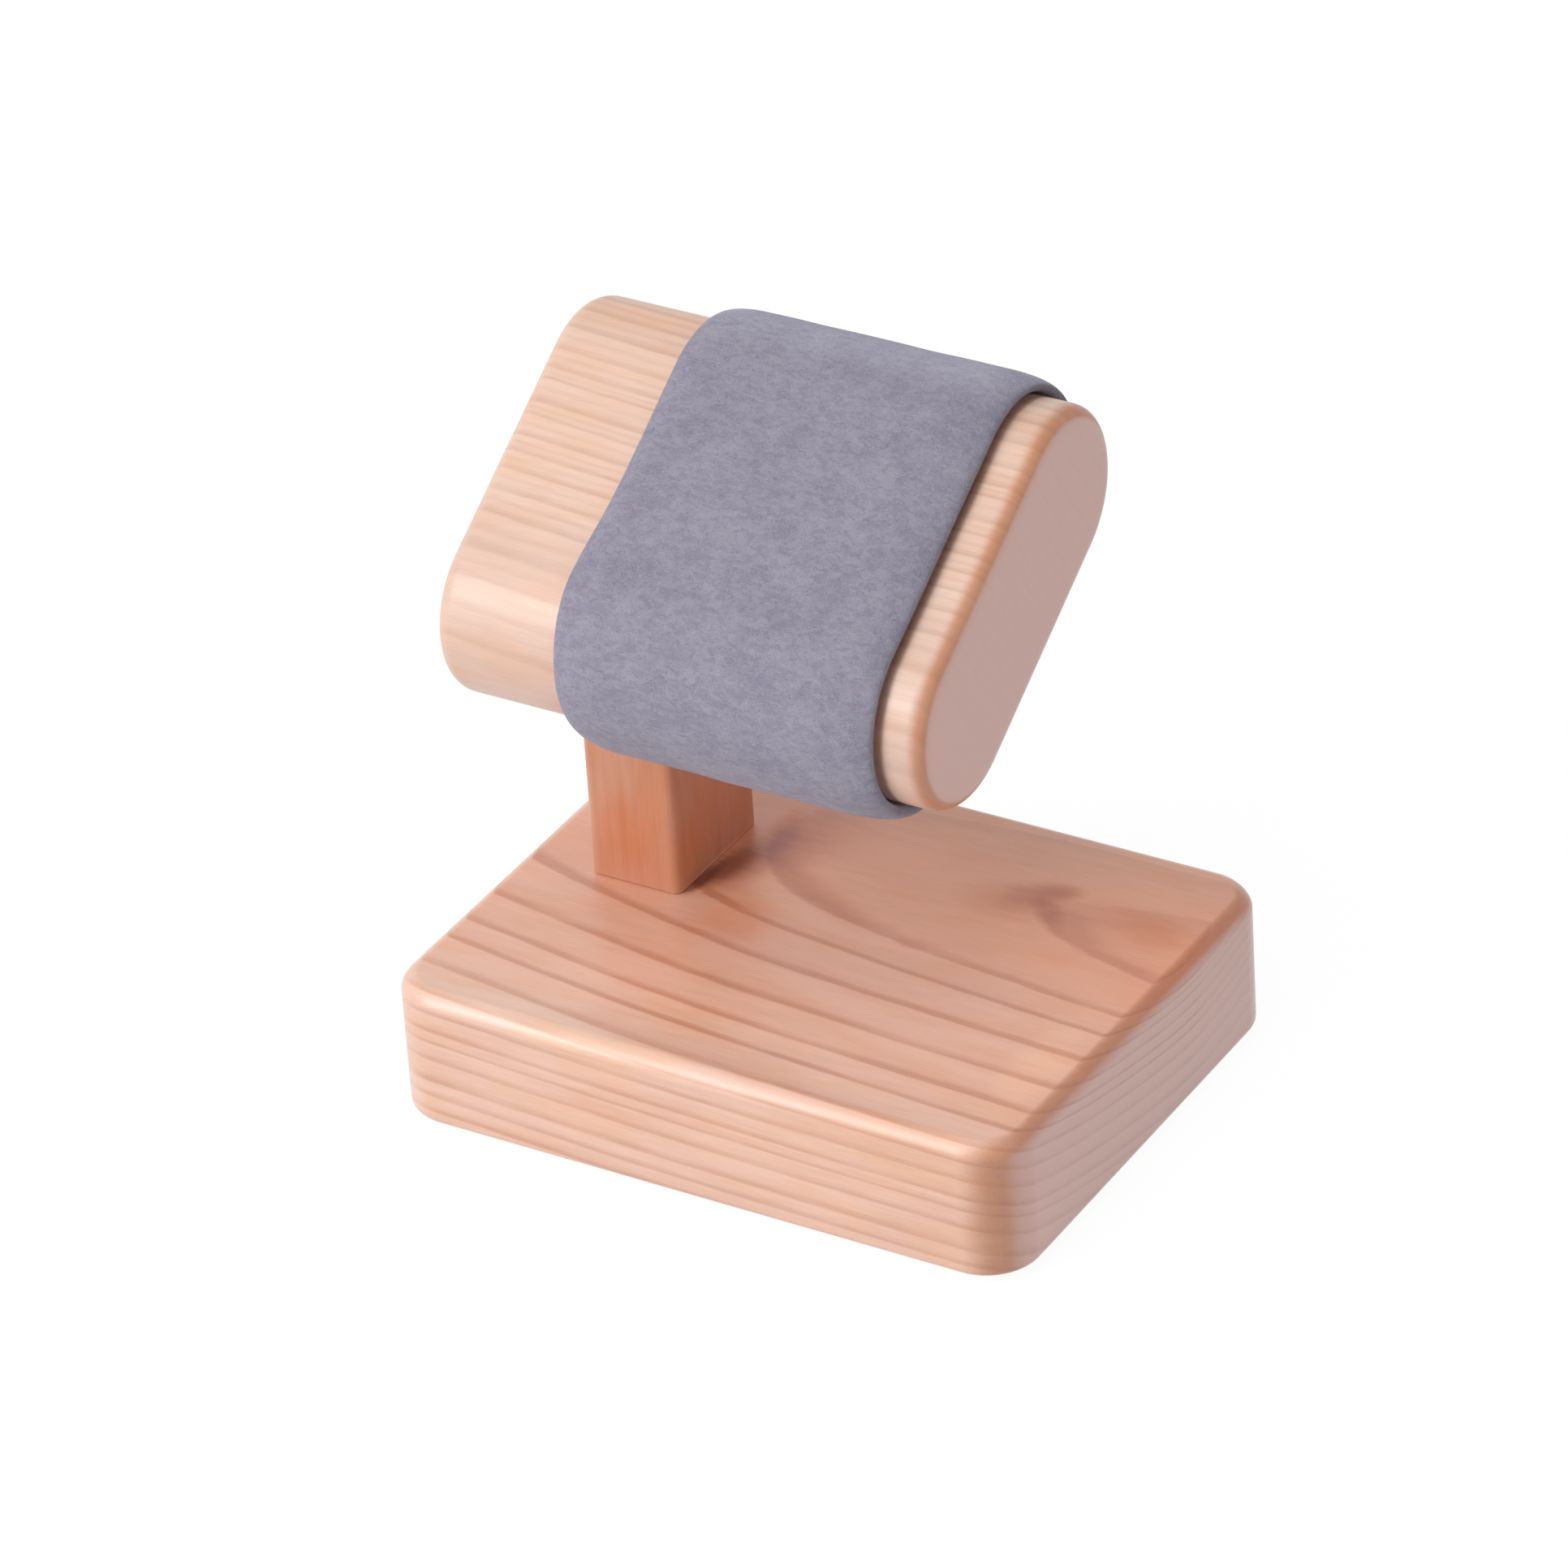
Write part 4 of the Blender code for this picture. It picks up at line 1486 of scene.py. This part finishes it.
def direction(azimuth: float, elevation: float) -> Vector:
    """Unit vector towards an azimuth, counted from the front to the right, and an elevation."""
    level = math.cos(elevation)
    return Vector((math.sin(azimuth) * level, -math.cos(azimuth) * level, math.sin(elevation)))


@dataclass
class Panel:
    """A square light panel that faces the stand, placed by azimuth and elevation in degrees."""

    name: str
    azimuth: float
    elevation: float
    size: float
    power: float
    distance: float = 0.85
    target: Vector = field(default_factory=lambda: Vector((0, 0, 0.05)))

    def build(self) -> None:
        """Make the panel, turned so that its light falls on the target."""
        back = direction(math.radians(self.azimuth), math.radians(self.elevation))
        data = bpy.data.lights.new(self.name, "AREA")
        data.size = self.size
        data.energy = self.power
        light = bpy.data.objects.new(self.name, data)
        bpy.context.scene.collection.objects.link(light)
        light.location = self.target + back * self.distance
        light.rotation_mode = "QUATERNION"
        light.rotation_quaternion = (-back).to_track_quat("-Z", "Y")


@dataclass
class Studio:
    """White floor and world, two light panels, and the camera."""

    pixels: float = 1932.0
    focal_pixels: float = 11107.22
    sensor: float = 36.0
    azimuth: float = math.radians(32.32)
    elevation: float = math.radians(31.99)
    roll: float = math.radians(-3.86)
    distance: float = 1.27136
    shift_right: float = -0.0072
    shift_up: float = 0.03876
    origin_height: float = 0.0012
    floor_size: float = 6.0
    paper_steps: Triple = (40, 40, 40)
    paper_dark: Colour = (0.80, 0.80, 0.80)
    paper_light: Colour = (0.82, 0.82, 0.82)
    seen_shade: Colour = (0.10, 0.10, 0.10)
    seen_glow: float = 0.94
    white: Colour = (1.0, 1.0, 1.0)
    ambient: float = 0.44
    panels: tuple[Panel, ...] = field(default_factory=lambda: (
        Panel("key_panel", azimuth=-33, elevation=30, size=0.32, power=3.3),
        Panel("front_panel", azimuth=-3, elevation=62, size=0.6, power=2.1)))

    def camera(self) -> None:
        """Make the camera: turned by azimuth, elevation and roll, then moved off the origin."""
        back = direction(self.azimuth, self.elevation)
        level = Vector((0, 0, 1)).cross(back).normalized()
        over = back.cross(level)
        cos, sin = math.cos(self.roll), math.sin(self.roll)
        right, up = cos * level + sin * over, cos * over - sin * level
        place = right * self.shift_right + up * self.shift_up + back * self.distance
        place.z += self.origin_height
        data = bpy.data.cameras.new("photo_camera")
        data.sensor_width = self.sensor
        data.lens = self.focal_pixels / self.pixels * self.sensor
        data.clip_start, data.clip_end = 0.01, 50
        camera = bpy.data.objects.new("photo_camera", data)
        bpy.context.scene.collection.objects.link(camera)
        camera.matrix_world = Matrix([[right[i], up[i], back[i], place[i]] for i in range(3)]
                                     + [[0, 0, 0, 1]])
        bpy.context.scene.camera = camera

    def seen(self, nodes: bpy.types.Nodes, links: bpy.types.NodeLinks) -> Socket:
        """1 where the camera, a mirror or glass looks, and 0 for light that is scattered."""
        path = nodes.new("ShaderNodeLightPath").outputs
        total = path["Is Camera Ray"]
        for name in ("Is Glossy Ray", "Is Transmission Ray"):
            made = nodes.new("ShaderNodeMath")
            made.operation = "MAXIMUM"
            links.new(total, made.inputs[0])
            links.new(path[name], made.inputs[1])
            total = made.outputs[0]
        return total

    def world(self) -> None:
        """White to look at, and a plain even light otherwise."""
        world = bpy.data.worlds.new("studio_world")
        world.use_nodes = True
        nodes, links = world.node_tree.nodes, world.node_tree.links
        strength = nodes.new("ShaderNodeMapRange")
        links.new(self.seen(nodes, links), strength.inputs["Value"])
        strength.inputs["To Min"].default_value = self.ambient
        strength.inputs["To Max"].default_value = 1.0
        background = nodes["Background"]
        background.inputs["Color"].default_value = (*self.white, 1.0)
        links.new(strength.outputs["Result"], background.inputs["Strength"])
        bpy.context.scene.world = world

    def floor(self) -> None:
        """A white floor that keeps a soft shadow.

        What the camera sees of it is its own glow and a little of the light that falls on it,
        and scattered light meets plain paper.
        """
        half = self.floor_size / 2
        corners = np.array([[-half, -half, 0], [half, -half, 0], [half, half, 0],
                            [-half, half, 0]])
        floor = new_piece("studio_floor", corners, np.array([[0, 1, 2, 3]]))
        graph = Graph("studio_paper")
        grain = graph.noise(graph.stretch(graph.place(), *self.paper_steps))
        graph.finish(Base_Color=graph.blend(grain, self.paper_dark, self.paper_light),
                     Roughness=1.0, Specular_IOR_Level=0.0)
        shade = graph.node("ShaderNodeBsdfDiffuse", {"Color": self.seen_shade})
        glow = graph.node("ShaderNodeEmission", {"Color": self.white,
                                                 "Strength": self.seen_glow})
        lit = graph.node("ShaderNodeAddShader", {0: shade.outputs[0], 1: glow.outputs[0]})
        share = self.seen(graph.nodes, graph.links)
        mixed = graph.node("ShaderNodeMixShader", {0: share, 1: graph.shader.outputs[0],
                                                   2: lit.outputs[0]})
        graph.links.new(mixed.outputs[0], graph.nodes["Material Output"].inputs["Surface"])
        floor.data.materials.append(graph.material)

    def build(self) -> None:
        """Make the studio."""
        self.camera()
        self.world()
        self.floor()
        for panel in self.panels:
            panel.build()
        bpy.context.scene.view_settings.view_transform = "Standard"


# The values of the finishes

# Ring widths in millimetres and the depth at which the first ring starts. The block's are read
# off its top and front from the figure's middle out, and the bar's off its flat from the back
# edge to the front one. The post's are assumed, as its lines hardly show.
BLOCK_RINGS = (1.96, 1.68, 0.99, 1.48, 2.04, 2.01, 1.60, 2.39, 2.53, 2.81, 2.79, 1.71, 2.71,
               3.40, 2.28, 2.40, 2.10, 2.60, 2.20)
BLOCK_FIRST_RING = -2.61
BAR_RINGS = (3.4, 3.6, 3.6, 3.65, 3.75, 3.0, 1.75, 3.75, 2.0, 3.25, 2.5, 2.75, 3.25, 3.75,
             5.75, 4.0, 3.6, 3.4, 3.6, 3.4)
BAR_FIRST_RING = -31.3
POST_RINGS = (2.1, 1.7, 2.4, 1.9, 2.6, 2.0, 1.6, 2.2, 2.5, 1.8, 2.3, 2.0)
POST_FIRST_RING = -12.0

# Where the post's grain axes stand over the ground, and how they are turned
POST_GRAIN_HEIGHT = 0.03
POST_GRAIN_TURN = (math.radians(35), math.radians(-90), 0)

# On the block: the smoky tip of the arched lines; darker wood beside and behind the post, partly
# its smoky figure and partly painted shadow of the post; painted shadow in a dark wedge at the
# post's foot; darker wood by the right edge; a painted highlight along the front-left top edge; and
# broad patches that are paler or warmer
BLOCK_MARKS_AND_PAINTED_LIGHT = (Mark(25.4, 22.8, 2.6, 1.7, 20, (0.82, 0.61, 0.49)),
               Mark(22.3, 20.4, 4.8, 3.2, 35, (0.79, 0.61, 0.48)),
               Mark(25.4, 17.8, 4.6, 1.6, -46, (0.80, 0.60, 0.47)),
               Mark(20.0, 18.3, 7.5, 4.2, 15, (0.88, 0.75, 0.65)),
               # Darker behind the post: partly the wood's smoky figure, partly painted shadow of
               # the post
               Mark(-18.4, 19.4, 5.6, 2.0, -80, (0.84, 0.61, 0.48)),
               Mark(-6.0, 8.0, 10.5, 2.3, -26, (0.88, 0.74, 0.62)),
               # The softer halo of that patch: partly smoky figure, partly painted shadow of the
               # post
               Mark(-15.5, 17.5, 6.0, 6.5, 0, (0.95, 0.77, 0.69)),
               Mark(-17.0, 25.0, 11.0, 7.0, 0, (1.05, 0.92, 0.86)),
               # Painted shadow: the dark wedge of contact shade along the post's foot, its core and
               # its body
               Mark(-22.6, 4.4, 4.2, 1.0, 86, (0.45, 0.26, 0.19)),
               Mark(-20.9, 9.0, 5.6, 2.2, 80, (0.54, 0.37, 0.28)),
               Mark(-36.0, -8.0, 13.0, 17.0, 0, (0.93, 0.98, 0.98)),
               # Painted shadow: the soft halo of the dark wedge at the post's foot
               Mark(-19.6, 9.5, 8.0, 3.6, 84, (0.80, 0.65, 0.58)),
               Mark(41.0, 19.0, 6.0, 3.8, -14, (0.90, 0.73, 0.55)),
               Mark(-13.5, -2.5, 5.5, 4.5, 0, (0.98, 0.83, 0.71)),
               Mark(12.5, 2.0, 2.2, 1.0, 0, (0.92, 0.77, 0.73)),
               Mark(10.0, -24.0, 34.0, 9.0, 0, (1.03, 1.06, 1.06), half_depth=4.0),
               # Painted highlight along the front-left top edge
               Mark(-30.0, -36.0, 15.0, 4.0, 0, (1.0, 1.06, 1.07), half_depth=3.0),
               Mark(15.0, -38.5, 40.0, 6.0, 0, (1.0, 0.96, 0.91), c=-9.0, half_depth=5.0),
               Mark(0.0, 12.0, 34.0, 13.0, -6, (1.0, 0.97, 0.91), half_depth=4.0),
               Mark(43.0, -18.0, 3.6, 11.0, 0, (1.09, 1.11, 1.04), half_depth=4.0))

# On the bar: warmer wood at the back of its left part, deeper wood at the back of its right
# end, and painted shade in a dark line along the sleeve's right edge
BAR_MARKS_AND_PAINTED_SHADE = (Mark(-30.0, -9.0, 12.0, 7.0, 0, (1.12, 0.98, 0.87), c=27.0, half_depth=5.0),
             Mark(32.6, -6.0, 1.8, 6.3, 0, (0.90, 0.64, 0.55), c=28.5, half_depth=3.5),
             # Painted shade: the dark line where the sleeve's right edge stands over the wood
             Mark(26.8, 0.0, 0.65, 60.0, 0, (0.48, 0.38, 0.35), c=0.0, half_depth=300.0))

# On the post: redder wood low on the front face and on its right edge; painted bounce light and
# shade that make the whole right face redder and darker; and a painted highlight in a pale line
# along that face's eased foot
POST_MARKS_AND_PAINTED_LIGHT = (Mark(0.0, -8.9, 6.5, 3.6, 0, (1.0, 0.84, 0.74), c=6.3, half_depth=8.5),
              Mark(-3.0, -10.7, 6.0, 4.0, 0, (1.0, 0.86, 0.66), c=-2.0, half_depth=3.0),
              # Painted bounce light and shade: the whole right face redder and darker
              Mark(8.0, -4.2, 21.0, 10.0, 0, (1.04, 0.86, 0.80), c=-6.0, half_depth=6.3),
              # Painted highlight: a pale line along the right face's foot
              Mark(-7.15, -4.2, 0.36, 10.0, 0, (1.5, 1.7, 1.9), c=-6.0, half_depth=6.3))


def cherry_finishes(top: float, axes: BarAxes, post: Vector) -> tuple[Cherry, Cherry, Cherry]:
    """The finishes of the three wooden pieces.

    Args:
        top: the height of the block's top.
        axes: the bar's axes.
        post: the post's place.

    Returns:
        The block's, the post's and the bar's finish.
    """
    block = Cherry("cherry_base_satin", Sawing.SLAB, Vector((0, 0, top)), (0, 0, 0),
                   early=display(243, 186, 160), pale=display(238, 198, 178),
                   end_grain=display(225, 178, 167), heart=(0.97, 0.77, 0.62),
                   ring_widths=BLOCK_RINGS, first_ring=BLOCK_FIRST_RING, marks=BLOCK_MARKS_AND_PAINTED_LIGHT,
                   warm=(1.0, 0.95, 0.87), rim=(0.73, 0.55, 0.43), coat=0.9,
                   coat_roughness=0.37, end_lines=0.7)
    upright = Cherry("cherry_post_satin", Sawing.UPRIGHT,
                     Vector((post.x, post.y, POST_GRAIN_HEIGHT)), POST_GRAIN_TURN,
                     early=display(214, 156, 129), pale=display(214, 156, 129),
                     end_grain=display(180, 120, 92), ring_widths=POST_RINGS,
                     first_ring=POST_FIRST_RING, marks=POST_MARKS_AND_PAINTED_LIGHT,
                     tint=(0.95, 0.84, 0.77), line_depth=0.12, pith_side=6.0, lean=0.01,
                     knee_slope=0.0, heart_slope=0.0, wander=0.6, late_share=0.6,
                     late_growth=0.0, faint_from=90, faint_to=99, far_strength=1.0,
                     tint_share=0.7, coat=0.15, rim=(0.9, 0.85, 0.8))
    bar = Cherry("cherry_bar_satin", Sawing.QUARTER, axes.centre,
                 (axes.tilt - math.pi / 2, 0, 0),
                 early=display(229, 195, 176), pale=display(226, 192, 175),
                 end_grain=display(232, 187, 176), rim=(0.88, 0.60, 0.45),
                 ring_widths=BAR_RINGS, first_ring=BAR_FIRST_RING, marks=BAR_MARKS_AND_PAINTED_SHADE,
                 line=(0.82, 0.78, 0.76), tint=(0.97, 0.92, 0.89),
                 warm=(1.0, 0.95, 0.89), line_depth=0.75, pith_distance=160.0, pith_side=0.0,
                 lean=0.0, knee_at=-15.0, knee_width=8.0, knee_slope=0.065, heart_slope=0.0,
                 late_share=0.42, late_growth=0.0, faint_from=16, faint_to=19, far_strength=1.0,
                 wander=0.3, flame=0.2, end_lines=0.1, false_ring=0.5, coat=0.55,
                 coat_roughness=0.40, end_from=0.86, end_full=0.99)
    return block, upright, bar


def main() -> None:
    """Load the frame, build the stand round it, and light it."""
    logging.basicConfig(level=logging.INFO, format="%(name)s %(message)s")
    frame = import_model()
    axes = BarAxes()
    base = Base()
    post = Post(axes, base)
    block_finish, post_finish, bar_finish = cherry_finishes(base.top, axes, post.place)
    block = base.build(block_finish.make(), Silicone().make())
    upright = post.build(frame, post_finish.make(), Zinc().make(), Beech().make())
    bar = RestBar(axes).build(bar_finish.make(), Suede().make(), Foam().make())
    post.join(block, upright, bar)
    Studio().build()


if __name__ == "__main__":
    main()
